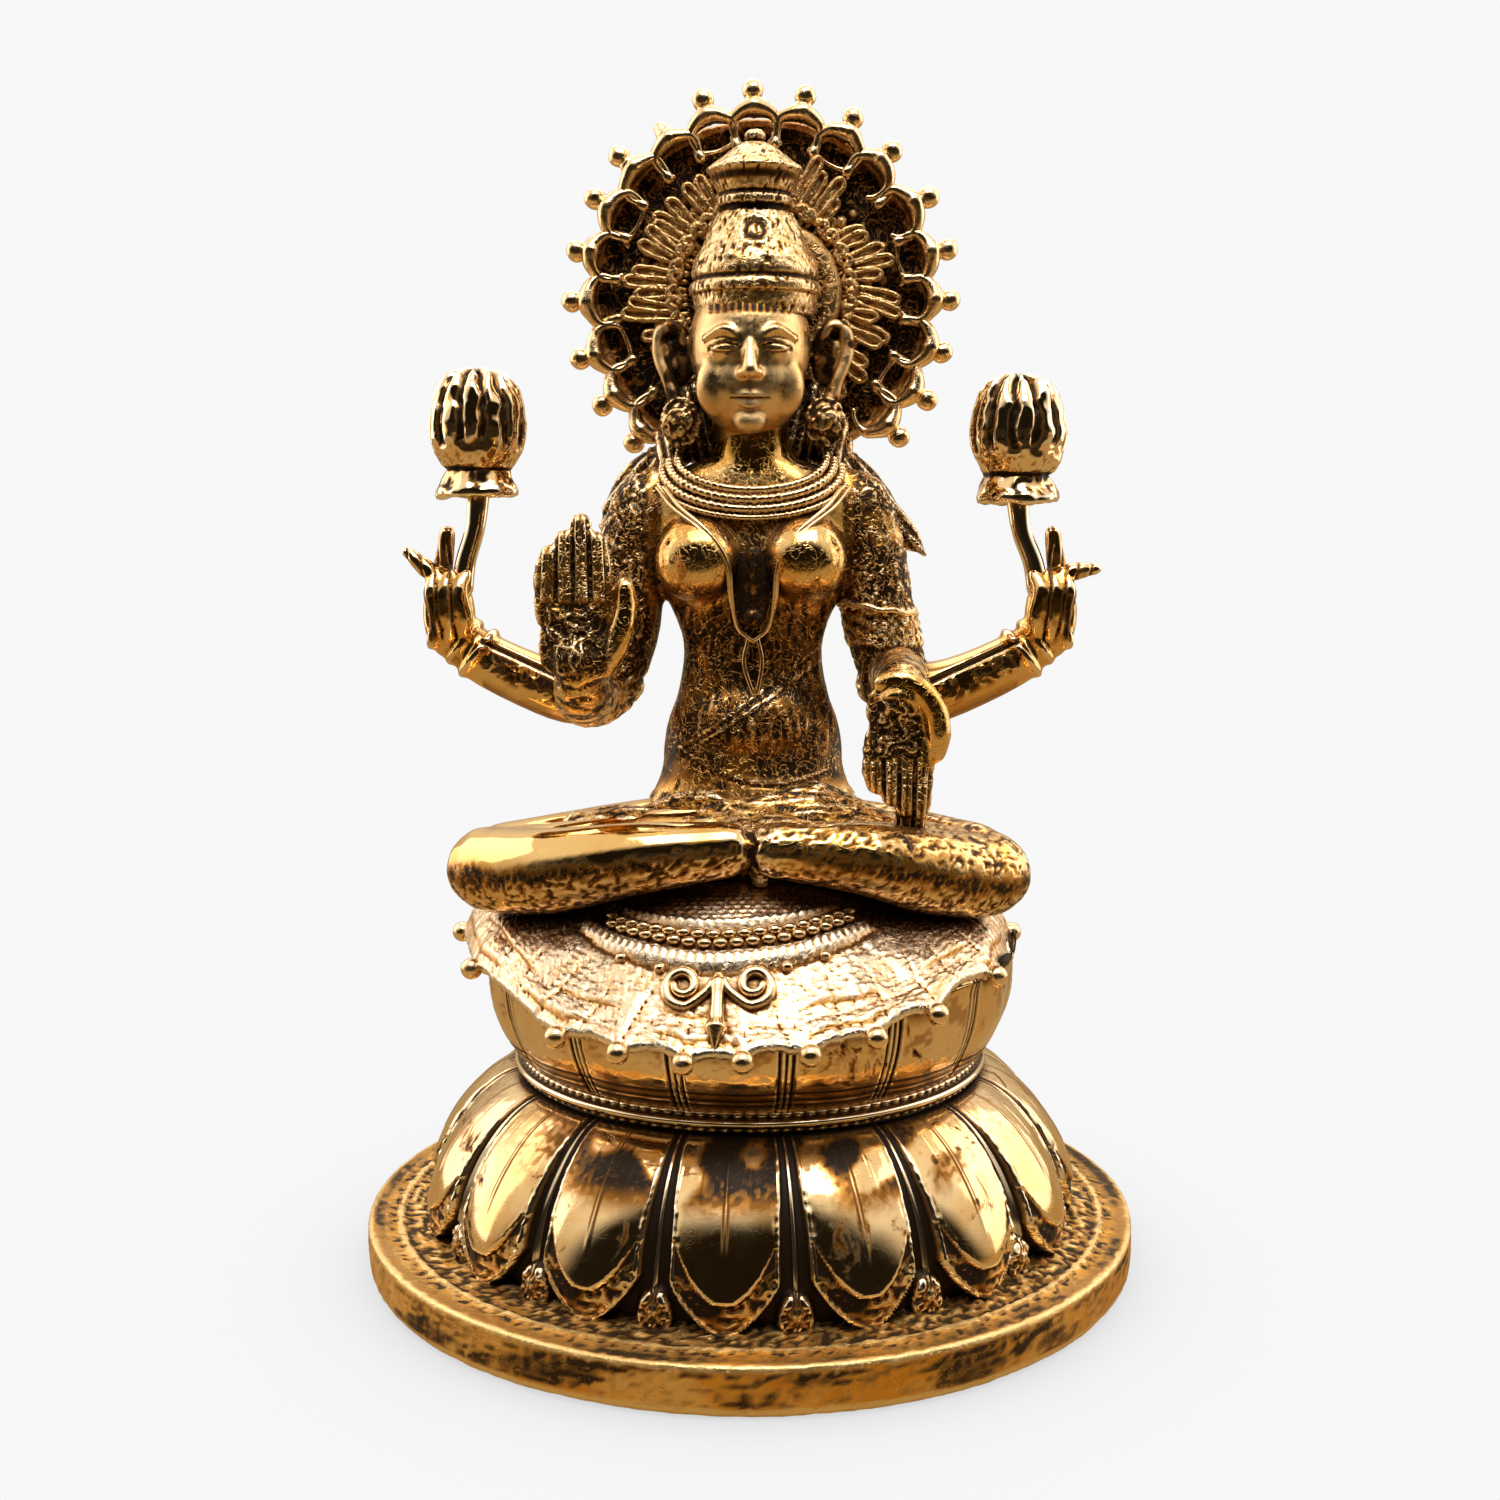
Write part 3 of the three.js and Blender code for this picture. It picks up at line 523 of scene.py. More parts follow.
# the lotus, ring and buds: a paler copy of the polished brass, painting in the lotus's pale highlights
lotusLook = dict(polished, gold=(0.99, 0.73, 0.41, 1), goldWarm=(0.93, 0.60, 0.25, 1),
                 goldPale=(1.0, 0.84, 0.60, 1), rough=0.09, threadShare=0.15, threadHeight=0.06,
                 grainHeight=0.05, bumpStrength=0.12)
chased = dict(polished, rough=0.20, stainLow=0.54, stainHigh=0.66, cloudScale=300.0, threadScale=900.0,
              threadWidth=0.04, threadShare=0.85, threadHeight=0.8, grainHeight=0.6, bumpStrength=0.5,
              patinaAndShade=(0.026, 0.014, 0.006, 1))
crownLook = dict(polished, gold=(1.0, 0.73, 0.40, 1), goldWarm=(0.95, 0.60, 0.24, 1), rough=0.24,
                 goldPale=(1.0, 0.74, 0.42, 1), stainLow=0.60, stainHigh=0.72, cloudScale=800.0,
                 threadShare=0.3, grainScale=1300.0, grainHeight=1.0, bumpStrength=0.7,
                 patinaAndShade=(0.045, 0.022, 0.008, 1))
faceLook = dict(polished, gold=(0.93, 0.64, 0.32, 1), goldWarm=(0.88, 0.54, 0.20, 1), rough=0.42,
                goldPale=(1.0, 0.76, 0.46, 1), stainLow=0.62, stainHigh=0.76, bumpStrength=0.3)
haloLook = dict(chased, gold=(0.78, 0.46, 0.17, 1), goldWarm=(0.64, 0.33, 0.09, 1),
                amberTarnishAndBounce=(0.36, 0.14, 0.020, 1), goldPale=(0.82, 0.52, 0.22, 1), patinaAndShade=(0.012, 0.007, 0.003, 1),
                patinaMetal=0.1, rough=0.30)
# the cloth: a paler copy of the brass, painting in its near-white highlights
clothLook = dict(polished, gold=(1.0, 0.80, 0.57, 1), goldWarm=(1.0, 0.69, 0.41, 1),
                 goldPale=(1.0, 0.87, 0.69, 1), amberTarnishAndBounce=(0.66, 0.31, 0.07, 1), rough=0.28, stainLow=0.64,
                 stainHigh=0.76, cloudScale=700.0, patinaAndShade=(0.13, 0.050, 0.012, 1), patinaMetal=0.7,
                 grainScale=1100.0, grainHeight=0.8, threadScale=700.0, threadHeight=0.4, bumpStrength=0.4,
                 shadeReach=0.0010, dirtAndShadeShare=0.72)
beadLook = dict(polished, gold=(0.90, 0.60, 0.27, 1), goldWarm=(0.80, 0.46, 0.14, 1),
                goldPale=(0.98, 0.71, 0.40, 1), rough=0.20, stainLow=0.52, stainHigh=0.68, cloudScale=500.0)
wallLook = dict(polished, gold=(0.95, 0.60, 0.20, 1), goldWarm=(0.80, 0.36, 0.04, 1), rough=0.38,
                goldPale=(0.95, 0.68, 0.30, 1), amberTarnishAndBounce=(0.42, 0.21, 0.05, 1), stainLow=0.52, stainHigh=0.85,
                cloudScale=110.0, patinaAndShade=(0.050, 0.028, 0.012, 1), patinaRough=0.55, patinaMetal=0.6,
                grainScale=1500.0, grainHeight=1.0, bumpStrength=0.6, threadShare=0.3, shadeReach=0.0010)


# base disc

disc = {"thick": 5.0, "lipInner": 36.2, "lipOuter": 37.3, "lipRise": 0.15, "gritFrom": 28.0, "gritTo": 38.4,
        "grit": 0.34, "spacing": 0.42, "steps": 440}


def makeBaseDisc(finish):
    bm = bmesh.new()
    top = disc["thick"]
    middle = (disc["lipInner"] + disc["lipOuter"]) / 2
    under = [(0, 0.02), (38.4, 0.02)]
    wall = [(38.4, 0.02), (39.4, 0.25), (39.9, 0.9), (40, 2), (40, 4.5), (39.94, 4.8), (39.78, 4.95),
            (39.5, top), (disc["lipOuter"], top - 0.12), (middle, top + disc["lipRise"]),
            (disc["lipInner"], top - 0.15), (35.6, top - 0.1), (27, top - 0.1)]
    profile = finer(under, 12) + finer(wall, disc["spacing"])[1:] + [Vector((0, top - 0.1))]
    lathe(bm, profile, disc["steps"])

    def relief(co, normal):
        reach = hypot(co.x, co.y)
        grit = noise(co * 1.25) + 0.6 * noise(co * 2.6)
        patch = noiseAt(co.x * 0.10, co.y * 0.10, co.z * 0.28)
        scratch = noiseAt(co.x * 0.9, co.y * 0.9, co.z * 2.0 + 5)
        if normal.z > 0.6:
            # a gritty floor round the lotus, a dark line inside the lip, and a scuffed edge
            start, end = disc["gritFrom"], disc["gritTo"]
            area = window(start - 1, start, end - 0.4, end + 0.1, reach)
            line = ridge(reach, disc["lipInner"] - 0.3, 0.5) * ramp(-0.4, 0.1, grit)
            area *= mix(1.0, 0.55, ramp(35.5, 36.5, reach))
            edge = (1 - area) * ramp(36, 37, reach)
            scuffed = edge * (0.40 + 0.5 * ramp(-0.1, 0.3, patch + 0.6 * scratch))
            return disc["grit"] * area * grit + 0.07 * edge * scratch, \
                max(area * ramp(0.12, -0.18, grit), line, scuffed)
        # the wall is stained in patches, and darker still at its foot and just under the rim
        fleck = noiseAt(co.x * 1.8, co.y * 1.8, co.z * 0.9)
        stain = 0.60 * ramp(-0.10, 0.30, patch + 0.3 * scratch) + 0.35 * ramp(0.10, 0.40, scratch)
        stain += 0.25 * ramp(2.2, 0.6, co.z) * ramp(-0.3, 0.2, patch)
        stain += 0.45 * ramp(3.6, 4.3, co.z) * ramp(-0.35, 0.15, scratch)
        return 0.09 * patch + 0.07 * scratch + 0.03 * fleck, stain + 0.25 * ramp(0.1, 0.4, fleck)

    carve(bm, relief)
    finishPiece(bm, "baseDisc", finish)


# lower lotus

lowerLotus = {"count": 16, "turn": -4.0, "foot": 4.6, "height": 15.2, "tip": 34.1, "waist": 23.7,
              "fullness": 0.55, "gap": 2.4, "tipShare": 0.30, "bossFoot": 0.20, "bossWide": 0.68,
              "veins": ((0.0, 0.026, 0.40, 0.50), (0.36, 0.018, 0.66, 0.78), (0.62, 0.018, 0.60, 0.70)),
              # beside each vein: where from the middle, its width, and the shares that it fades in over
              "veinShades": ((0.035, 0.020, 0.45, 0.6), (0.39, 0.016, 0.7, 0.8), (0.65, 0.016, 0.6, 0.7)),
              "columns": 60, "rows": 84}


def lowerPetal(across, up):
    look = lowerLotus
    side = abs(across)
    share = 1 - (1 - up) ** 1.35
    radius = mix(look["waist"], look["tip"], max(cos(share * pi / 2), 0) ** look["fullness"])
    height = look["foot"] + look["height"] * share
    outline = mix(0.0, 0.78, min(share / look["tipShare"], 1.0) ** 0.56)
    outline = mix(outline, 0.86, ramp(0.4, 1.0, share))
    inside = 1 - ramp(outline - 0.025, outline + 0.03, side)
    gap = mix(look["gap"], 0.55, share ** 0.8)
    rise = -gap * (1 - inside)
    dirtAndShade = 1 - inside
    rise -= 0.5 * inside * (side / max(outline, 0.05)) ** 2 * (1 - share * 0.6)
    rise += 0.26 * ridge(side, outline - 0.035, 0.035) * inside
    # a smooth full boss inside a thin raised rim
    bossRise = max(share - look["bossFoot"], 0.0) / 0.32
    boss = look["bossWide"] * min(bossRise, 1.0) ** 0.52
    boss = mix(boss, outline - 0.05, ramp(0.40, 0.85, share))
    onBoss = ramp(-0.03, 0.03, boss - side) * ramp(0.0, 0.02, bossRise)
    rise += onBoss * 0.60 * (1 - (side / 0.8) ** 2 * 0.8) * (1 - 0.5 * share)
    rim = ridge(side, boss + 0.015, 0.045) * ramp(0.0, 0.05, bossRise)
    rise += 0.28 * rim * (1 - ramp(0.35, 0.75, share))
    # the lip round it is stippled, with black patches
    onLip = inside * (1 - onBoss)
    stipple = noiseAt(across * 10, share * 30, 3)
    patch = noiseAt(across * 2.6, share * 8, 8)
    rise += 0.16 * onLip * stipple * ramp(0.02, 0.10, share)
    edge = max(rim, ridge(side, outline - 0.03, 0.05))
    dark = max(0.9 * ramp(0.05, -0.25, stipple), ramp(-0.15, 0.2, patch - 0.3 * across))
    dirtAndShade = max(dirtAndShade, onLip * (1 - edge) * dark)
    lined = 0.9 * ridge(side, boss + 0.07, 0.03) * ramp(0.0, 0.05, bossRise)
    dirtAndShade = max(dirtAndShade, lined * inside * (1 - ramp(0.5, 0.8, share)))
    # a thin gold line runs down between the petals, to a small rounded stippled leaf at their foot
    line = ridge(side, 1.0, 0.040) * ramp(0.20, 0.26, share)
    spread = hypot((1 - side) / 0.30, (share - 0.07) / 0.19)
    leaf = ramp(1.0, 0.78, spread) * (1 - inside)
    pebble = noiseAt((1 - side) * 16, share * 34, 4)
    rise += gap * (0.62 * line * (1 - leaf) + 0.66 * leaf * (1 - 0.35 * spread * spread))
    rise += 0.42 * leaf * pebble
    dirtAndShade = dirtAndShade * (1 - 0.92 * line)
    dirtAndShade = mix(dirtAndShade, 0.85 * ramp(0.15, -0.25, pebble), leaf)
    # veins run down from the ring
    vein, shade = (sum(ridge(side, place, width) * ramp(low, high, share)
                       for place, width, low, high in look[kind])
                   for kind in ("veins", "veinShades"))
    return radius + rise + 0.10 * vein, height, min(max(dirtAndShade, 0.7 * shade), 1.0)


def makeLowerLotus(finish):
    bm = petalRing(lowerLotus, lowerPetal)

    def relief(co, normal):
        cloud = noise(co * 0.22)
        fine = noise(co * 1.6)
        high = ramp(13, 18, co.z)
        ahead = ramp(0.62, 0.90, -co.y / hypot(co.x, co.y))
        # painted dark reflection over the upper front of the lotus, with tarnish flecks over its upper part
        darkReflectionAndTarnish = 0.85 * high * ahead * ramp(-0.25, 0.15, cloud)
        darkReflectionAndTarnish += 0.25 * high * ramp(0.1, 0.4, fine + cloud)
        return 0.025 * noise(co * 0.4) + 0.010 * fine * high, min(darkReflectionAndTarnish, 0.9)

    carve(bm, relief)
    finishPiece(bm, "lowerLotus", finish)


# waist ring

ring = {"foot": 19.6, "top": 22.5, "waist": 23.4, "reach": 24.7, "teeth": 132, "spacing": 0.22, "steps": 528}


def makeWaistRing(finish):
    bm = bmesh.new()
    foot, top, waist, reach = ring["foot"], ring["top"], ring["waist"], ring["reach"]
    profile = [(waist, foot), (waist, foot + 0.35), (waist + 0.75, foot + 0.6), (waist + 0.7, foot + 0.95),
               (reach - 0.1, foot + 1.15), (reach, foot + 1.4), (reach - 0.1, foot + 1.65),
               (waist + 0.6, foot + 1.85), (waist + 0.6, foot + 2.25), (waist + 0.2, foot + 2.5),
               (waist, top)]
    lathe(bm, [(0, foot)] + finer(profile, ring["spacing"]) + [(0, top)], ring["steps"])

    def relief(co, normal):
        turn = atan2(co.x, -co.y)
        tooth = cos(turn * ring["teeth"])
        band = ridge(co.z, foot + 0.75, 0.4) + ridge(co.z, foot + 2.1, 0.4)
        ragged = noise(co * 2.0)
        return 0.16 * band * tooth * (0.6 + ragged), band * ramp(0.3, -0.4, tooth + ragged)

    carve(bm, relief)
    finishPiece(bm, "waistRing", finish)


# upper lotus

upperLotus = {"count": 16, "turn": -4.0, "foot": 22.1, "height": 10.7, "waist": 24.0, "rim": 27.7,
              "rimWide": 2.0, "tipRise": 1.3, "outer": 0.80,  # share of the rows that climb the outside
              "columns": 48, "rows": 50}


def upperPetal(across, up):
    look = upperLotus
    side = abs(across)
    outer = look["outer"]
    share = min(up / outer, 1.0)
    over = max(up - outer, 0.0) / (1 - outer)
    radius = mix(look["waist"], look["rim"], share ** 0.75) + 0.55 * sin(pi * min(share * 1.15, 1.0))
    height = look["foot"] + look["height"] * share
    height += look["tipRise"] * (1 - side ** 2) * ramp(0.75, 1.0, share)
    groove = ramp(0.84, 0.90, side)
    fine = ridge(side, 0.93, 0.02) + ridge(side, 1.0, 0.02)
    rise = 0.35 * (1 - (side / 0.9) ** 2) * (1 - groove) * sin(pi * min(share + 0.12, 1.0))
    rise -= 0.45 * ridge(side, 0.87, 0.025) + 0.35 * fine
    dirtAndShade = min(1.0, 0.95 * ridge(side, 0.87, 0.025) + 0.9 * fine)
    lined = 1 - ramp(0.18, 0.30, share)
    rise -= 0.10 * lined * (0.5 + 0.5 * cos(share * 95))
    dirtAndShade = max(dirtAndShade, lined * (0.65 + 0.35 * cos(share * 95)))
    if over > 0:
        radius -= look["rimWide"] * over
        height -= 0.9 * ramp(0.55, 1.0, over)
    return radius + rise * (1 - over), height, dirtAndShade


def makeUpperLotus(finish):
    bm = petalRing(upperLotus, upperPetal)
    # the rim is pressed down where the cloth lies over it
    for vert in bm.verts:
        x = vert.co.x - cloth["shift"]
        turn = degrees(atan2(x, -vert.co.y))
        if abs(turn) < cloth["edgeTurn"] - 2 and vert.co.z > 28:
            seatReach = cloth["topReach"]
            share = (hypot(x, vert.co.y) - seatReach) / (tabled(cloth["hemReaches"], turn) - seatReach)
            if 0 < share < 1:
                vert.co.z = min(vert.co.z, onCloth(turn, share).z - 0.9)

    def relief(co, normal):
        cloud = noise(co * 0.35)
        fine = noiseAt(co.x * 1.2, co.y * 1.2, co.z * 2.4)
        high = ramp(25.5, 28.0, co.z)
        return 0.06 * cloud + 0.04 * fine, high * (0.05 + 0.30 * ramp(0.10, 0.4, cloud + 0.5 * fine))

    carve(bm, relief)
    finishPiece(bm, "upperLotus", finish)


# cloth over the seat

cloth = {"topReach": 15.5, "thick": 0.8, "edgeTurn": 104.0, "shift": -1.2, "level": 37.9, "rise": 4.4,
         "tucked": 25.3, "lotusTop": 32.8, "beadRadius": 1.08, "columns": 520, "rows": 124,
         # turns from the front with the hem's height and reach there
         "hemHeights": ((-104, 32.2), (-80, 32.5), (-62, 32.5), (-33, 29.3), (-8, 28.2), (14, 28.9),
                        (38, 31.1), (60, 32.6), (104, 32.2)),
         "hemReaches": ((-104, 29.4), (-66, 28.2), (-40, 29.6), (-8, 29.8), (38, 29.6), (62, 28.6),
                        (104, 28.8)),
         "beadTurns": (-98, -64, -33, -20.5, -9, 1, 12.5, 24.5, 37.5, 58, 98)}
mat = {"middle": -4.0, "half": 40.0, "dip": 0.15, "edge": 0.30, "rowShares": (0.413, 0.466),
       "band": (0.525, 0.605), "hungTurns": (-27, -17, 11, 20), "rows": 32}


# how far a place is towards the next bead, from 1 at a bead to 0 half way, and the width of that gap
def scallop(turn):
    beads = cloth["beadTurns"]
    for start, end in zip(beads, beads[1:]):
        if start <= turn <= end:
            return abs(2 * (turn - start) / (end - start) - 1) ** 1.6, end - start
    return 1.0, 14.0


# a point of the cloth by its turn from the front and its share from the seat (0) to the hem (1)
def onCloth(turn, share, above=0.0):
    look = cloth
    behind = ramp(look["edgeTurn"] - 3, look["edgeTurn"] + 5, abs(turn))
    side = ramp(30, 85, abs(turn))
    reach = mix(look["topReach"], mix(tabled(look["hemReaches"], turn), look["tucked"], behind), share)
    low = mix(tabled(look["hemHeights"], turn) + look["thick"], look["lotusTop"] - 0.2, behind)
    high = look["level"] + look["rise"] * max(0.0, cos(radians(turn))) ** 2
    down = max(share, 0.0)
    height = mix(high, low, mix(down ** 1.15, down ** 7, side))
    height += 0.7 * sin(pi * min(down, 1)) * (1 - side) * (1 - behind)
    angle = radians(turn)
    return Vector((look["shift"] + reach * sin(angle), -reach * cos(angle), height + above))


def outwards(turn):
    return Vector((sin(radians(turn)), -cos(radians(turn)), 0))


# a place along the curved rows of the mat
def onMat(turn, share, above):
    off = (turn - mat["middle"]) / mat["half"]
    return onCloth(turn, share - mat["dip"] * off * off, above)


def clothRelief(turn, share):
    front = 1 - ramp(96, 106, abs(turn))
    nearBead = scallop(turn)[0]
    low = ramp(0.55, 1.0, share)
    ruffle = noiseAt(turn * 0.13, share * 5, 0)
    rise = 0.40 * (nearBead - 0.4) * low + 0.30 * ruffle * ramp(0.3, 0.7, share)
    # engraved rows of small bricks, each row a little uneven
    row = share * 27 + 1.3 * noiseAt(turn * 0.11, share * 6, 3)
    reach = mix(cloth["topReach"], 29.6, share)
    brick = turn * reach * 0.0135 + (int(row) % 2) * 0.5 + 0.3 * noiseAt(turn * 0.2, int(row) * 1.7, 5)
    seam = max(0.8 * ridge(row % 1, 0.5, 0.24), ridge(brick % 1, 0.5, 0.26))
    seam *= ramp(-0.40, 0.0, noiseAt(turn * 0.35, share * 22, 9))
    rise -= 0.17 * seam
    dirtAndShade = 0.45 * seam
    # tiers lap over each other in panels, with a dark wavy line of painted shade under each
    for place, depth, shift in ((0.80, 0.22, 0.0), (0.925, 0.38, 2.0)):
        wave = noiseAt(turn * 0.10, place * 9, 1)
        edge = place + 0.022 * wave + 0.02 * nearBead
        shown = ramp(-0.25, 0.05, noiseAt(turn * 0.07 + shift, 4, place))
        rise += depth * ramp(edge - 0.12, edge, share) * (1 - ramp(edge, edge + 0.012, share)) * shown
        dirtAndShade = max(dirtAndShade, ridge(share, edge + 0.014, 0.014) * shown)
    # folds near the hem, darkened in their creases with painted shade
    for i in range(-9, 10):
        fold = ridge(turn, i * 9.5 + 5 * noiseAt(i * 2.3, share * 2, 7), 0.8)
        rise -= 0.20 * fold * ramp(0.62, 0.75, share)
        dirtAndShade = max(dirtAndShade, 0.6 * fold * ramp(0.62, 0.75, share) * ramp(-0.1, 0.3, ruffle))
    # the half-round mat under the legs, its rim, and the ridged band round it
    off = abs(turn - mat["middle"]) / mat["half"]
    if off < 1.1:
        inner = share + mat["dip"] * off * off
        shown = 1 - ramp(0.93, 1.05, off)
        onMat = (1 - ramp(mat["edge"] - 0.01, mat["edge"] + 0.01, inner)) * (1 - ramp(0.85, 1.0, off))
        row = share * mat["rows"]
        cell = max(ridge(row % 1, 0.5, 0.4), ridge((turn * 0.34 + int(row) % 2 * 0.5) % 1, 0.5, 0.3))
        rise = mix(rise, 0.05 - 0.14 * cell, onMat)
        dirtAndShade = mix(dirtAndShade, 0.30 * cell, onMat)
        rim = ridge(inner, mat["edge"] + 0.035, 0.035) * shown
        rise = mix(rise, 0.35 + 0.08 * cos(turn * 2.4), rim)
        dirtAndShade = mix(dirtAndShade, 0.35 * ramp(-0.6, -1.0, cos(turn * 2.4)), rim)
        trough = window(0.365, 0.38, 0.485, 0.50, inner) * shown
        rise = mix(rise, -0.45, trough)
        dirtAndShade = mix(dirtAndShade, 0.85, trough)
        start, end = mat["band"]
        for low, high, lift, ticks in ((0.50, 0.52, 0.25, 1.9), (start, end, 0.55, 2.9)):
            band = window(low, low + 0.012, high - 0.012, high, inner) * shown
            tick = cos(turn * ticks)
            rise = mix(rise, lift + 0.09 * tick, band)
            dirtAndShade = mix(dirtAndShade, 0.5 * ramp(-0.55, -0.95, tick), band)
        under = ridge(inner, end + 0.014, 0.02) * shown
        rise -= 0.25 * under
        dirtAndShade = max(dirtAndShade, under)
    # painted shade: the hem darkens between the beads, where it is drawn in
    dirtAndShade = max(dirtAndShade, 0.6 * ramp(0.965, 1.0, share) * (1 - 0.7 * nearBead))
    return rise * front, dirtAndShade * front


def makeCloth(finish):
    look = cloth
    bm = bmesh.new()
    dirtAndShade = bm.verts.layers.float.new("dirtAndShade")
    bmesh.ops.create_grid(bm, x_segments=look["columns"], y_segments=look["rows"], size=0.5)
    # this much of the grid each way lies on the carved front, the rest behind
    fineShare, fineTurn = 0.43, 108
    for vert in bm.verts:
        away = abs(vert.co.x)
        if away < fineShare:
            turn = fineTurn * away / fineShare
        else:
            turn = mix(fineTurn, 180, (away - fineShare) / (0.5 - fineShare))
        turn = turn if vert.co.x > 0 else -turn
        share = mix(-0.3, 1.0, vert.co.y + 0.5)
        rise, vert[dirtAndShade] = clothRelief(turn, share)
        # the hem is drawn in and up between the beads
        nearBead, gap = scallop(turn)
        pulled = 1 - nearBead
        edge = ramp(0.86, 1.0, share) * (1 - ramp(99, 106, abs(turn)))
        place = onCloth(turn, share, rise)
        place += outwards(turn) * (0.5 - 0.06 * min(gap, 18) * pulled) * edge
        place.z += min(0.075 * gap, max(0.0, 2.5 - 0.058 * gap)) * pulled * edge
        vert.co = place
    bmesh.ops.remove_doubles(bm, verts=bm.verts, dist=seamGap)
    # the hem is turned under and runs back into the lotus, darkened underneath with painted shade
    shift = look["shift"]
    hem = [edge for edge in bm.edges
           if edge.is_boundary and hypot(edge.verts[0].co.x - shift, edge.verts[0].co.y) > 20]
    for inwards, down in ((0.0, look["thick"] * 0.5), (0.25, look["thick"] * 0.5), (6.5, 0.3)):
        fresh, hem = drawOut(bm, hem)
        for vert in fresh:
            vert[dirtAndShade] = max(vert[dirtAndShade], 0.75 + 0.4 * noise(vert.co * 0.5))
            x, y, z = vert.co
            share = 1 - inwards / hypot(x - shift, y)
            vert.co = (shift + (x - shift) * share, y * share, z - down)
    closeHoles(bm)
    finishPiece(bm, "cloth", finish)


# a ball on a short neck hangs at each of the hem's beads, and two rows of small beads lie round the mat
def makeClothBeads(finish):
    look = cloth
    beads = bmesh.new()
    for turn in look["beadTurns"]:
        away = outwards(turn)
        place = onCloth(turn, 1.0) + away * 0.75
        place.z -= look["thick"] * 0.55
        bead(beads, place, look["beadRadius"], 3)
        limb(beads, [place - away * 1.6 + Vector((0, 0, 0.35)), place], [0.75, 0.6], sides=10, steps=3)
    pitch, slope = 3.9, 43  # degrees from bead to bead, and the slope that they lie on
    for row, (share, lift) in enumerate(zip(mat["rowShares"], (0.15, 0.2))):
        for i in range(-9 + row, 10):
            turn = mat["middle"] + (i + 0.5 * (row == 0)) * pitch
            facing = Matrix.Rotation(radians(turn), 4, "Z") @ Matrix.Rotation(radians(slope), 4, "X")
            ball(beads, onMat(turn, share, lift), (0.74, 0.52, 0.46), facing, 10)
    for turn in mat["hungTurns"]:
        bead(beads, onMat(turn, mat["band"][1] + 0.035, 0.3), 0.55)
    finishPiece(beads, "clothBeads", finish)


# two scrolls and a pointed drop hang in the middle of the cloth
pendant = {"middle": -3.8, "share": 0.72, "apart": 3.3, "reach": 1.75, "slope": 19.7, "radius": 25.7}


# a place on the cloth beside the pendant's middle, sideways and up the slope
def onPendant(sideways, up, lift):
    turn = pendant["middle"] + degrees(sideways / pendant["radius"])
    return onCloth(turn, pendant["share"] - up / pendant["slope"], lift)


def makeClothPendant(finish):
    bm = bmesh.new()
    for side in (-1, 1):
        points = [onPendant(side * 0.5, 0.4, 0.8), onPendant(side * 1.1, -0.5, 0.7)]
        for i in range(20):
            angle = radians(-115 + i * 24)
            reach = pendant["reach"] * (1 - 0.030 * i)
            sideways = side * (pendant["apart"] + reach * cos(angle))
            points.append(onPendant(sideways, reach * sin(angle), 0.55 + 0.02 * i))
        limb(bm, points, [0.42, 0.50, 0.50, 0.44, 0.36], sides=10, steps=70, across=(0, -0.7, 0.7))
    drop = [(1.0, 0.5), (-0.2, 0.9), (-1.8, 0.8), (-3.2, 0.8), (-4.3, 0.8), (-5.3, 0.6)]
    limb(bm, [onPendant(0, up, lift) for up, lift in drop],
         [0.55, 0.75, 0.6, 0.65, 0.7, 1.05, 0.55, 0.12], sides=12, steps=28, across=(1, 0, 0))
    finishPiece(bm, "clothPendant", finish)


# legs

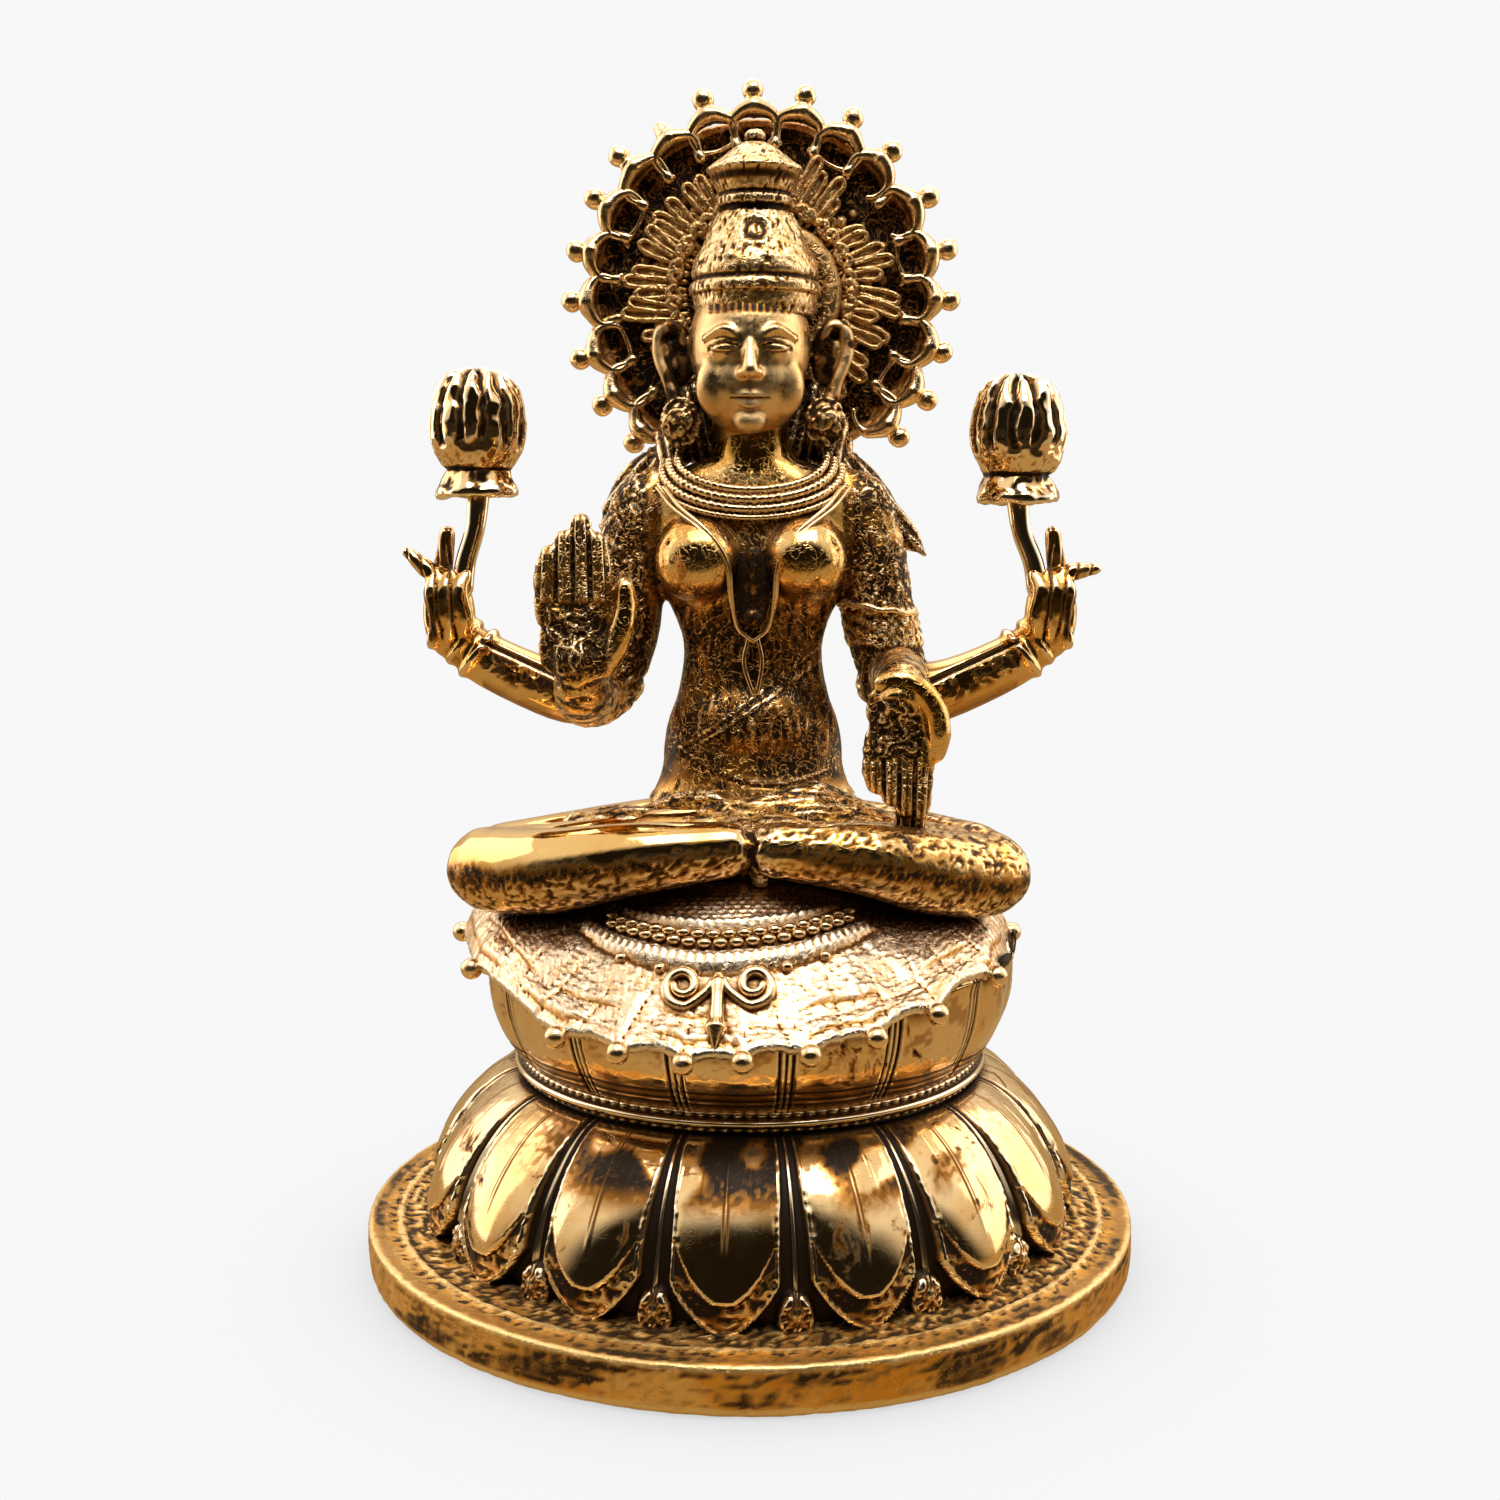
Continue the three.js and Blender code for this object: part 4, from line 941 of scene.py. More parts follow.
def makeLegs(finish):
    bm = bmesh.new()
    for side, knee, low in ((-1, 26.0, 3.8), (1, 23.8, 3.3)):
        limb(bm, figs([(3, 1, 4.8), (14, -2, 4.2), (knee - 1, -7.6, 4)], side), [5.6, 5.0, 4.1], sides=24)
        shin = [(knee + 0.3, -9.0, low), (knee - 2, -10.6, low + 0.1), (knee - 7, -14.0, 4.6), (11, -17, 6.3),
                (2, -18, 7.4)]
        limb(bm, figs(shin, side), [4.1, 4.3, 4.2, 3.5, 2.7], sides=24, steps=20)
        ball(bm, fig(side * (knee + 0.3), -8.9, low), (3.5, 3.9, 4.2), fine=24)
        calf = [(4, -9, 6.0), (13, -9.6, 5.2), (knee - 3, -9.3, 4.2)]
        limb(bm, figs(calf, side), [4.4, 4.2, 3.8], sides=20)
    ball(bm, fig(0, -5.5, 5.8), (14, 11.4, 4.4), fine=28)
    ball(bm, fig(0, 1.6, 5), (13, 8.6, 7), fine=28)
    bm = fused(bm, voxel=0.38, smoothing=3)

    def relief(co, normal):
        rise, dirtAndShade, plain = 0.0, 0.0, 1.0
        front = ramp(0.25, -0.15, normal.y)
        if front > 0:
            z = co.z - seat
            # how far round the shin, from 1 on top to -1 below
            around = normal.z
            worn = noise(co * 0.5)
            if co.x < 0:
                hammered = front * ramp(0.12, -0.12, around + 0.25 * worn - 0.012 * (co.x + 26))
            else:
                bands = max(ramp(0.0, 0.25, around + 0.2 * worn), ramp(-0.25, -0.45, around), 0.5)
                hammered = front * bands
            plain = 1 - hammered
            # short ticks, slanted down to the middle, with scribbled threads between them
            slant = co.x * 0.72 + (0.30 if co.x < 0 else -0.62) * z
            tick = ridge((slant * 1.5 + 1.6 * worn) % 1, 0.5, 0.24)
            shown = hammered * ramp(-0.1, 0.25, noise(co * 0.7 + Vector((5, 0, 0))))
            grit = noiseAt(co.x * 1.5, co.y * 1.2, co.z * 2.2) + 0.5 * noise(co * 3.1)
            rise -= 0.11 * tick * shown + 0.11 * ramp(0.0, 0.35, grit) * hammered
            dirtAndShade = max(0.8 * tick * shown, 0.8 * ramp(0.05, 0.35, grit) * hammered)
            # a black band of painted dark reflection runs along the front of each shin, broken by ticks
            if co.x > 4:
                middle = ridge(around, -0.10 + 0.15 * worn, 0.42) * front * ramp(4, 7, co.x)
                dirtAndShade = max(dirtAndShade, middle * (1.0 - 0.7 * tick))
            elif co.x < -3:
                middle = ridge(around, -0.02 + 0.20 * worn, 0.45) * front * ramp(-3, -7, co.x)
                middle *= ramp(-0.40, -0.10, noise(co * 0.32) - 0.014 * (co.x + 14))
                dirtAndShade = max(dirtAndShade, middle * (1.0 - 0.6 * tick))
                plain *= 1 - middle
            seam = ridge(co.x, 0.2 + 0.5 * noiseAt(0, 0, co.z), 0.45)
            rise -= 0.5 * seam * front
            # a dark seam between the legs, and painted shade along the underside of the shins
            dirtAndShade = max(dirtAndShade, seam * front, 0.5 * ramp(-0.70, -0.92, around) * front)
        return rise, dirtAndShade, plain

    carve(bm, relief)
    # the underside is cut flat inside the seat
    bmesh.ops.bisect_plane(bm, geom=bm.verts[:] + bm.edges[:] + bm.faces[:], plane_co=(0, 0, seat - 4),
                           plane_no=(0, 0, -1), clear_outer=True)
    closeHoles(bm)
    finishPiece(bm, "legs", finish)


# the sole of the tucked foot, and the cloth's folds and bow across the lap
def makeLap(finish):
    bm = bmesh.new()
    limb(bm, figs([(-8.0, -9.2, 8.0), (-12, -8.6, 8.7), (-17.6, -7.2, 8.2)]), [1.2, 1.5, 1.1], widen=1.9)
    for i in range(5):
        bead(bm, fig(-16.6 - 0.25 * i, -9.8 + 0.9 * i, 8.5), 0.62)
    for i, lift in enumerate((0, 0.9, 1.8)):
        bow = [(-4.4 + i, -10.4 + i * 0.7, 9.6 + lift * 0.4), (0.6, -12.6 + i, 8.6 + lift),
               (6, -11.4 + i, 9.8 + lift), (11.0 - i, -9.5 + i, 9.4 + lift * 0.7), (16.0 - i, -8.5 + i, 8.2)]
        limb(bm, figs(bow), [0.7, 0.9, 1.1, 0.9, 0.5], widen=1.3)
        fold = [(-12 + i * 2, -5.6, 8.8 + lift * 0.6), (-5, -9 + i * 0.5, 11.0 - lift * 0.2),
                (-1, -11.4 + i * 0.5, 9.4)]
        limb(bm, figs(fold), [0.5, 0.8, 0.7])
    limb(bm, figs([(2, -13.6, 8.6), (6.5, -14.4, 7.4), (12, -13.6, 7.4), (17, -11.6, 7.4)]),
         [1.7, 2.0, 1.9, 1.2], widen=1.5)
    limb(bm, figs([(-1, -13.4, 8.4), (0.6, -15.6, 7.4), (1.0, -16.4, 4.4)]), [1.5, 1.6, 1.0], widen=1.4)
    ball(bm, fig(2, -8, 8.2), (14, 6, 2.2), fine=24)
    bm = fused(bm, voxel=0.31, smoothing=2)

    def relief(co, normal):
        streak = noiseAt(co.x * 0.45, co.y * 1.4, co.z * 2.6)
        fine = noiseAt(co.x * 1.2, co.y * 2.0, co.z * 4.0)
        return 0.22 * streak + 0.08 * fine, ramp(0.0, -0.25, streak + 0.4 * fine)

    carve(bm, relief)
    finishPiece(bm, "lapFolds", finish)


# torso

torso = (  # half width, height, half depth, shift back
    (11.4, 4, 7.6, 0), (11.0, 9.0, 7.4, -0.3), (9.9, 11.2, 6.8, -0.3), (9.3, 13.2, 6.3, -0.2),
    (9.2, 15.4, 6.1, -0.1), (8.7, 17.9, 5.8, 0), (7.8, 20.4, 5.4, 0.05), (7.15, 24.1, 5.2, 0.1),
    (7.5, 27.2, 5.5, 0.15), (9.4, 31.5, 6, 0.2), (10.3, 35, 6, 0.35), (10.7, 38.5, 5.8, 0.5),
    (10.2, 41.6, 4.9, 0.6), (7, 43.6, 4.2, 0.5), (4.1, 45.0, 3.8, 0.3), (3.6, 49, 3.6, 0))


def makeTorso(finish):
    bm = bmesh.new()
    sizes = smoothPath([(wide, height, 0) for wide, height, deep, back in torso], 44)
    shapes = smoothPath([(deep, back, 0) for wide, height, deep, back in torso], 44)
    places = [ringPlace(fig(0.3, shape.y, size.y), Vector((size.x, 0, 0)), Vector((0, shape.x, 0)),
                        Vector((0, 0, 1)))
              for size, shape in zip(sizes, shapes)]
    loft(bm, places, 40)
    for side in (-1, 1):
        ball(bm, fig(side * 5.3 + 0.1, -4.4, 34.3), (4.35, 4.5, 4.4), fine=28)
        # shoulders and upper arms
        shift = 0 if side < 0 else 0.3
        arm = [(9.6, 0.8, 41.2), (10.8 + shift, 0.8, 39.6), (12.2 + shift, 0.9, 34),
               (13 + shift * 2, 0.6, 27), (14.9 + shift, -0.3, 21.2)]
        limb(bm, figs(arm, side), [2.6, 3.5, 3.7, 3.7, 3.6], sides=20)
        ball(bm, fig(side * 15, -0.4, 21.4), (3.7, 3.6, 3.7), fine=18)
    ball(bm, fig(0.3, -2.6, 17.5), (6.6, 4.3, 5.0), fine=24)
    bm = fused(bm, voxel=0.33, smoothing=3)

    def relief(co, normal):
        z = co.z - seat
        front = ramp(0.15, -0.35, normal.y)
        rise, dirtAndShade = 0.0, 0.0
        onArm = max(ramp(9.6, 10.8, abs(co.x)), ramp(1.0, 3.0, co.y)) * (1 - ramp(43, 44, z))
        chest = ramp(29.5, 31.0, z) * (1 - onArm) * (1 - ramp(0.0, 2.0, co.y))
        plain = max(chest, 0.8 * ramp(12, 14, z) * (1 - onArm))
        if z < 31:
            # the belly's fine upright grain, its two slanting scarf edges and the fold at the hips
            grain = noiseAt(co.x * 2.1, 1, z * 0.42)
            strength = front * window(13, 17, 29, 31, z)
            rise -= 0.13 * strength * ramp(-0.05, 0.3, grain)
            dirtAndShade = max(dirtAndShade, 0.95 * strength * ramp(-0.15, 0.18, grain))
            for start, slope, curve in ((19.6, 0.72, 0.0), (18.6, 0.66, 0.0), (12.4, -0.10, 0.035)):
                fold = z - (start + slope * (co.x + 1) + curve * (co.x - 1) ** 2)
                within = front * (1 - ramp(7.0, 8.5, abs(co.x - 0.5)))
                broken = within * ramp(-0.35, 0.0, noise(co * 0.5 + Vector((0, 0, start))))
                rise += (0.12 * ridge(fold, 0, 0.35) - 0.16 * ridge(fold, -0.42, 0.30)) * within
                dirtAndShade = dirtAndShade * (1 - 0.8 * ridge(fold, 0.05, 0.26) * broken)
                dirtAndShade = max(dirtAndShade, within * ridge(fold, -0.42, 0.34))
            # painted shade: the whole belly is darkened in mottled patches
            shadow = noise(co * 0.35)
            dirtAndShade = max(dirtAndShade, (0.60 + 0.30 * ramp(-0.35, 0.25, shadow)) * window(10.0, 13.0, 27, 31, z))
        if 30 < z < 43 and abs(co.x - 0.3) < 3.2 and co.y < 0:
            # painted shade: dark between the breasts
            dirtAndShade = max(dirtAndShade, ramp(3.0, 1.4, abs(co.x - 0.3)) * (1 - ramp(34, 37, z)))
            plain *= 1 - 0.7 * ramp(3.0, 1.4, abs(co.x - 0.3))
        if onArm > 0:
            # wandering threads over the dark sleeves, with creases inside the bent elbow
            swirl = noise(co * 0.95 + Vector((0, 0, 1.6 * noise(co * 0.5))))
            thin = ramp(0.16, 0.02, abs(swirl))
            rise += 0.16 * onArm * (thin - 0.5)
            dark = 0.92 if co.x > 0 else 1.0
            dirtAndShade = max(dirtAndShade, onArm * (1 - thin) * dark * ramp(-0.5, 0.1, noise(co * 0.3) + 0.25))
            if co.x < 0 and z < 25:
                fold = (hypot(co.x + 15, z - 28) * 0.75) % 1
                rise -= 0.3 * ridge(fold, 0.5, 0.3) * (1 - ramp(22, 25, z)) * onArm
            if 25.2 < z < 29.6 and co.x > 9:
                # the armlet's beaded band
                band = window(25.2, 25.6, 29.2, 29.6, z)
                knot = cos(co.x * 5.0 + co.y * 5.0) * cos(z * 4.2)
                rise += band * (0.25 + 0.12 * knot)
                dirtAndShade = mix(dirtAndShade, ramp(0.1, -0.6, knot), band)
        # painted shade: under the breasts and arms, where the surface faces down, the brass is brown
        dirtAndShade = max(dirtAndShade, 0.7 * chest * ramp(-0.35, -0.75, normal.z))
        return rise, dirtAndShade, plain

    carve(bm, relief)
    finishPiece(bm, "torso", finish)


# neck collar, strings and pendant

collar = {"centre": (0.2, -0.6, 43.6), "tilt": 34, "flat": 0.78,
          # reach, lift and size of each strand
          "strands": ((7.5, 1.05, 0.55), (8.3, 0.35, 0.62), (9.1, -0.40, 0.62), (9.7, -1.1, 0.45))}


def makeJewels(finish):
    bm = bmesh.new()
    tilt = Matrix.Rotation(radians(collar["tilt"]), 4, "X")
    centre = fig(*collar["centre"])
    for reach, lift, size in collar["strands"]:
        def spot(angle):
            return centre + tilt @ Vector((reach * cos(angle), reach * collar["flat"] * sin(angle), lift))

        limb(bm, [spot(angle) for angle in turns(40)], [size * 0.62, size * 0.62], sides=8, steps=90,
             across=(0, 0, 1))
        for i, angle in enumerate(turns(round(reach * tau / (1.3 * size)))[:-1]):
            bead(bm, spot(angle), size * (0.82 + 0.25 * noiseAt(i * 1.7, reach, 0)), 1)
    # two strings on each side run down between the breasts, and meet over a narrow loop
    for side in (-1, 1):
        for shift, size in ((0.0, 0.26), (0.75, 0.17)):
            string = [(8.9 + shift, -3.2, 41.4), (7.2 + shift, -5.6, 39.4), (4.4 + shift * 0.7, -7.6, 37.0),
                      (2.5 + shift * 0.4, -7.7, 34.0), (2.1 + shift * 0.2, -6.9, 30.4), (1.5, -6.2, 27.6),
                      (0, -5.9, 26.2)]
            limb(bm, figs(string, side, 0.3), [size, size, size, size * 0.8], sides=8, steps=34,
                 across=(1, 0, 0))
        loop = figs([(0.5, -5.9, 26.4), (0.9, -5.9, 24.0)], side, 0.3) + figs([(0.2, -6.1, 21.0)], side, 0.5)
        limb(bm, loop, [0.20, 0.26, 0.22], sides=8, steps=10, across=(1, 0, 0))
    finishPiece(bm, "jewels", finish)


# a long drop hangs between the breasts, near-black as painted shade in the hollow there, with a lighter line
# down its middle
def makePendant(finish):
    bm = bmesh.new()
    ball(bm, fig(0.3, -6.2, 31.6), (1.75, 1.0, 4.2), fine=24)
    ball(bm, fig(0.3, -7.0, 33.0), (0.55, 0.5, 2.6), fine=14)
    ball(bm, fig(0.3, -6.9, 28.6), (1.0, 0.55, 0.8), fine=14)
    bm = fused(bm, voxel=0.14, smoothing=1)

    def relief(co, normal):
        grit = noise(co * 1.6)
        return 0.06 * grit, 0.95 - 0.5 * ridge(co.x, 0.3, 0.5) * ramp(0.0, 0.4, grit)

    carve(bm, relief)
    finishPiece(bm, "pendant", finish)


# head

face = {"eyes": 54.8, "eyeApart": 2.5, "brow": 56.4, "noseFoot": 52.0, "mouth": 50.0, "chin": 47.9}


def makeHead(finish):
    bm = bmesh.new()
    ball(bm, fig(0, -1.0, 55.6), (6.1, 6.4, 7.4), fine=40)
    ball(bm, fig(0, -1.9, 51.8), (5.5, 5.4, 5.2), fine=32)
    ball(bm, fig(0, -5.4, face["chin"]), (1.7, 1.6, 1.3), fine=18)
    limb(bm, figs([(0, -6.6, 56.4), (0, -7.5, 54.4), (0, -8.3, face["noseFoot"] + 0.6)]), [0.55, 0.6, 0.85])
    brow = face["brow"]
    for side in (-1, 1):
        ball(bm, fig(side * 0.8, -7.5, face["noseFoot"] + 0.4), (0.6, 0.7, 0.5), fine=12)
        ball(bm, fig(side * 3.1, -4.3, 51.4), (2.3, 1.9, 3.2), fine=24)
        ball(bm, fig(side * face["eyeApart"], -6.2, face["eyes"]), (1.25, 0.9, 0.72), fine=18)
        limb(bm, figs([(1.0, -7.1, brow - 0.5), (2.6, -6.95, brow + 0.25), (4.6, -5.4, brow - 0.6)], side),
             [0.35, 0.45, 0.2])
        # ears hang long behind the cheeks, each with a rim, an inner fold and a lobe
        rim = [(6.4, 0.4, 54.6), (7.6, 0.2, 57.4), (9.2, 0.4, 57.2), (9.5, 0.2, 54.8), (8.4, -0.2, 52.0),
               (7.7, -0.4, 50.0)]
        limb(bm, figs(rim, side, 0.3), [0.5, 0.65, 0.75, 0.7, 0.7, 0.9], steps=26, widen=1.3)
        limb(bm, figs([(7.4, 0.2, 56.0), (8.3, 0.3, 55.6), (7.9, 0.2, 53.4)], side, 0.3), [0.4, 0.5, 0.4])
        ball(bm, fig(side * 7.6 + 0.3, 0.9, 54.6), (1.9, 0.6, 3.2), fine=16)
    # lips: half width, the two depths and heights, and thickness
    for half, deep, full, edge, middle, thick in ((1.9, -6.6, -7.2, 0.15, 0.35, 0.42),
                                                  (1.5, -6.5, -7.0, -0.35, -0.6, 0.48)):
        mouth = face["mouth"]
        limb(bm, figs([(-half, deep, mouth + edge), (0, full, mouth + middle), (half, deep, mouth + edge)]),
             [0.15, thick, 0.15])
    limb(bm, figs([(0, 0.2, 50), (0, 0.2, 46), (0, 0.6, 42.5)]), [3.7, 3.5, 3.4], sides=24)
    bm = fused(bm, voxel=0.205, smoothing=5)

    def relief(co, normal):
        z = co.z - seat
        rise, dirtAndShade = 0.0, 0.0
        if co.y < -3:
            eyes = face["eyes"]
            for side in (-1, 1):
                off = co.x - side * face["eyeApart"]
                lid = 1 - (off / 1.6) ** 2
                if lid > 0:
                    upper = z - (eyes + 0.5 * lid ** 0.7)
                    lower = z - (eyes - 0.42 * lid ** 0.7)
                    dirtAndShade = max(dirtAndShade, ridge(upper, 0, 0.16), 0.8 * ridge(lower, 0, 0.14))
                    rise += 0.14 * ridge(upper, 0.25, 0.22) - 0.14 * ridge(upper, 0, 0.16)
                    rise -= 0.10 * ridge(lower, 0, 0.14)
                    dirtAndShade = max(dirtAndShade, 0.7 * ridge(hypot(off, z - eyes), 0, 0.34))
            if abs(co.x) < 2.0:
                parted = ridge(z - face["mouth"], 0.02 * co.x ** 2, 0.16)
                dirtAndShade = max(dirtAndShade, parted)
                rise -= 0.12 * parted
        # combed hair shows under the crown's brim, dark lies in the ears, and painted shade lies under the
        # chin
        hair = ramp(57.9, 58.5, z) * ramp(4.8, 3.6, abs(co.x)) * ramp(0.0, -2.0, co.y)
        strand = cos(co.x * 9.0)
        rise -= 0.10 * hair * (0.5 - 0.5 * strand)
        dirtAndShade = max(dirtAndShade, hair * (0.75 - 0.25 * strand))
        if abs(co.x) > 6.3:
            swirl = noise(co * 0.7)
            dirtAndShade = max(dirtAndShade, 0.85 * ramp(0.12, -0.12, swirl))
            rise += 0.12 * swirl
        dirtAndShade = max(dirtAndShade, 0.8 * ramp(47.2, 46.2, z) * ramp(-0.3, 0.2, noise(co * 0.8)))
        plain = 0.6 * ramp(49.0, 51.0, z) * (1 - ramp(6.0, 6.6, abs(co.x)))
        return rise, dirtAndShade, plain

    carve(bm, relief)
    finishPiece(bm, "head", finish)


crown = {"x": 0.5, "back": -0.6, "spacing": 0.22, "steps": 156, "profile": (
    (0, 57), (5.8, 58.4), (6.1, 59.4), (6.25, 60.4), (6.55, 60.55), (6.65, 61.1), (6.5, 61.5), (6.15, 61.75),
    (6.15, 62.0), (6.35, 62.2), (6.4, 62.6), (6.15, 63.6), (5.45, 64.9), (4.75, 66.3), (4.15, 67.6),
    (3.75, 68.3), (3.1, 68.45), (3.0, 68.95), (3.7, 69.15), (3.8, 69.8), (3.55, 70.0), (3.5, 70.3),
    (3.75, 70.45), (4.1, 71.3), (4.6, 72.35), (4.85, 72.5), (4.75, 72.75), (3.6, 73.6), (2.3, 74.6),
    (1.2, 75.25), (0.65, 75.4), (1.0, 75.6), (1.05, 76.1), (0.7, 76.45), (0, 76.6))}


def makeCrown(finish):
    bm = bmesh.new()
    profile = [(r, z + seat) for r, z in crown["profile"]]
    lathe(bm, finer(profile, crown["spacing"]), crown["steps"], (crown["x"], crown["back"]))

    def relief(co, normal):
        z = co.z - seat
        across = co.x - crown["x"]
        reach = hypot(across, co.y - crown["back"])
        if reach < 0.5:
            return 0.0, 0.0
        facing = -(co.y - crown["back"]) / reach
        turn = atan2(across, crown["back"] - co.y)
        grit = noise(co * 2.4) + 0.6 * noise(co * 4.6)
        tick = ramp(-0.22, -0.42, noiseAt(co.x * 2.6, co.y * 2.6, co.z * 0.85))
        rise = 0.06 * grit - 0.12 * tick
        dirtAndShade = max(0.4 * ramp(-0.25, -0.7, grit), 0.8 * tick)
        if 63.6 < z < 68.4:
            # raised scrollwork over the granular ground
            coil = hypot(turn * reach, (z - 66.2) * 1.1)
            spiral = cos(coil * 4.6 - 1.0 + 0.8 * noise(co * 1.6))
            onCoil = (1 - ramp(1.6, 2.2, coil)) * ramp(0.0, 0.4, facing)
            vine = abs(noiseAt(turn * 3.2, z * 0.62, 2))
            rise += 0.16 * spiral * onCoil + 0.14 * ramp(0.14, 0.03, vine) * (1 - onCoil)
            dirtAndShade = max(dirtAndShade, ramp(-0.2, -0.9, spiral) * onCoil)
        # painted shade: black under the eave, in the neck's groove and over the brim, strongest on the front
        front = ramp(0.35, 0.75, facing)
        for height, deep in ((61.95, 0.30), (70.1, 0.30), (71.7, 0.65), (68.7, 0.42)):
            groove = ridge(z, height, deep)
            dirtAndShade = max(dirtAndShade, groove * (0.55 + 0.45 * front))
        return rise, dirtAndShade

    carve(bm, relief)
    finishPiece(bm, "crown", finish)


# locks of hair, earrings and the scarf ends behind the shoulders
def makeHair(finish):
    bm = bmesh.new()
    for side in (-1, 1):
        for i in range(4):
            lock = [fig(side * (6.0 + i * 0.5) + 0.4, 0.6 + i * 0.6, 51.5),
                    fig(side * (7.4 + i * 0.55) + 0.4, 0.2 + i * 0.7, 47.4),
                    fig(side * (8.2 + i * 0.5) + 0.2, 0.2 + i * 0.6, 44.2),
                    fig(side * (8.6 + i * 0.6), 0.6 + i * 0.5, 42.2)]
            limb(bm, lock, [0.7, 0.85, 0.8, 0.6], sides=10)
    ball(bm, fig(0.4, 3.0, 47.5), (8.2, 2.6, 5.2), fine=24)
    ball(bm, fig(0.2, 2.2, 54), (5.6, 4.2, 6.5), fine=24)
    # scarf ends
    limb(bm, figs([(-6, 3.4, 46), (-10.8, 3.2, 43.2), (-13.6, 2.8, 39.6), (-14.2, 2.4, 36), (-13.8, 2, 33)]),
         [1.8, 1.8, 1.6, 1.3, 0.9], widen=0.8)
    limb(bm, figs([(7, 3.4, 46), (11.4, 3.2, 42.4), (14.2, 2.8, 39), (16.2, 2.5, 36.6), (18.0, 2.3, 34.8)]),
         [1.8, 1.8, 1.6, 1.3, 0.5], widen=0.8)
    bm = fused(bm, voxel=0.33, smoothing=2)

    def relief(co, normal):
        z = co.z - seat
        if abs(co.x) > 9.6 and z < 45:
            line = cos((z * 0.8 + abs(co.x) * 0.9) * 5.0)
        else:
            line = cos((abs(co.x) * 1.0 - z * 0.25) * 6.0)
        shade = noise(co * 0.6)
        return 0.14 * line + 0.1 * shade, max(ramp(0.55, -0.4, line), ramp(0.12, -0.15, shade))

    carve(bm, relief)
    finishPiece(bm, "hair", finish)


def makeEarrings(finish):
    bm = bmesh.new()
    for side in (-1, 1):
        middle = fig(side * 7.1 + 0.3, -1.4, 48.0)
        facing = Matrix.Rotation(radians(90), 4, "X") @ Matrix.Rotation(radians(side * 14), 4, "Y")
        ball(bm, middle, (2.0, 2.35, 1.2), facing, 24)
        for angle in turns(22)[:-1]:
            bead(bm, middle + facing @ Vector((1.9 * cos(angle), 2.2 * sin(angle), 0.5)), 0.38, 1)
        for turn in range(3):
            start = turn * 2.1 + side
            curl = []
            for k in range(11):
                reach, angle = 1.4 - 0.10 * k, start + k * 0.42 * side
                place = Vector((reach * cos(angle), reach * sin(angle), 1.0 + 0.04 * k))
                curl.append(middle + facing @ place)
            limb(bm, curl, [0.34, 0.3, 0.22], sides=8, steps=22)
        bead(bm, middle + facing @ Vector((0, 0, 1.25)), 0.5)
    bm = fused(bm, voxel=0.15, smoothing=1)

    def relief(co, normal):
        grit = noise(co * 1.8)
        return 0.12 * grit, ramp(0.15, -0.2, grit)

    carve(bm, relief)
    finishPiece(bm, "earrings", finish)


# halo

halo = {"x": 1.2, "y": 6.4, "z": 61.3, "circle": 20.0, "beadRadius": 1.12, "missing": 11, "wedge": 7.4,
        "boss": 7.2, "bossShift": 0.9, "ground": 17.7, "spacing": 0.62, "steps": 170,
        # each bead's turn and reach; the casting is a little uneven
        "beads": ((-45.4, 20.4), (-32.0, 20.3), (-17.5, 19.6), (-1.8, 19.4), (13.2, 19.6), (29.6, 19.6),
                  (46.9, 19.5), (62.0, 19.8), (77.3, 20.2), (92.6, 20.3), (107.3, 20.2), (122.0, 19.8),
                  (136.6, 20.0), (150.8, 19.6), (167.1, 19.5), (182.2, 19.6), (199.3, 19.9), (214.3, 20.0),
                  (228.6, 20.1))}


# a point of the halo: sideways and outwards in one arch's own frame, and forward of the plate
def onHalo(turn, sideways, outwards, forward):
    angle = radians(turn)
    out = Vector((cos(angle), 0, sin(angle)))
    side = Vector((sin(angle), 0, -cos(angle)))
    return fig(halo["x"], halo["y"] - forward, halo["z"]) + out * outwards + side * sideways


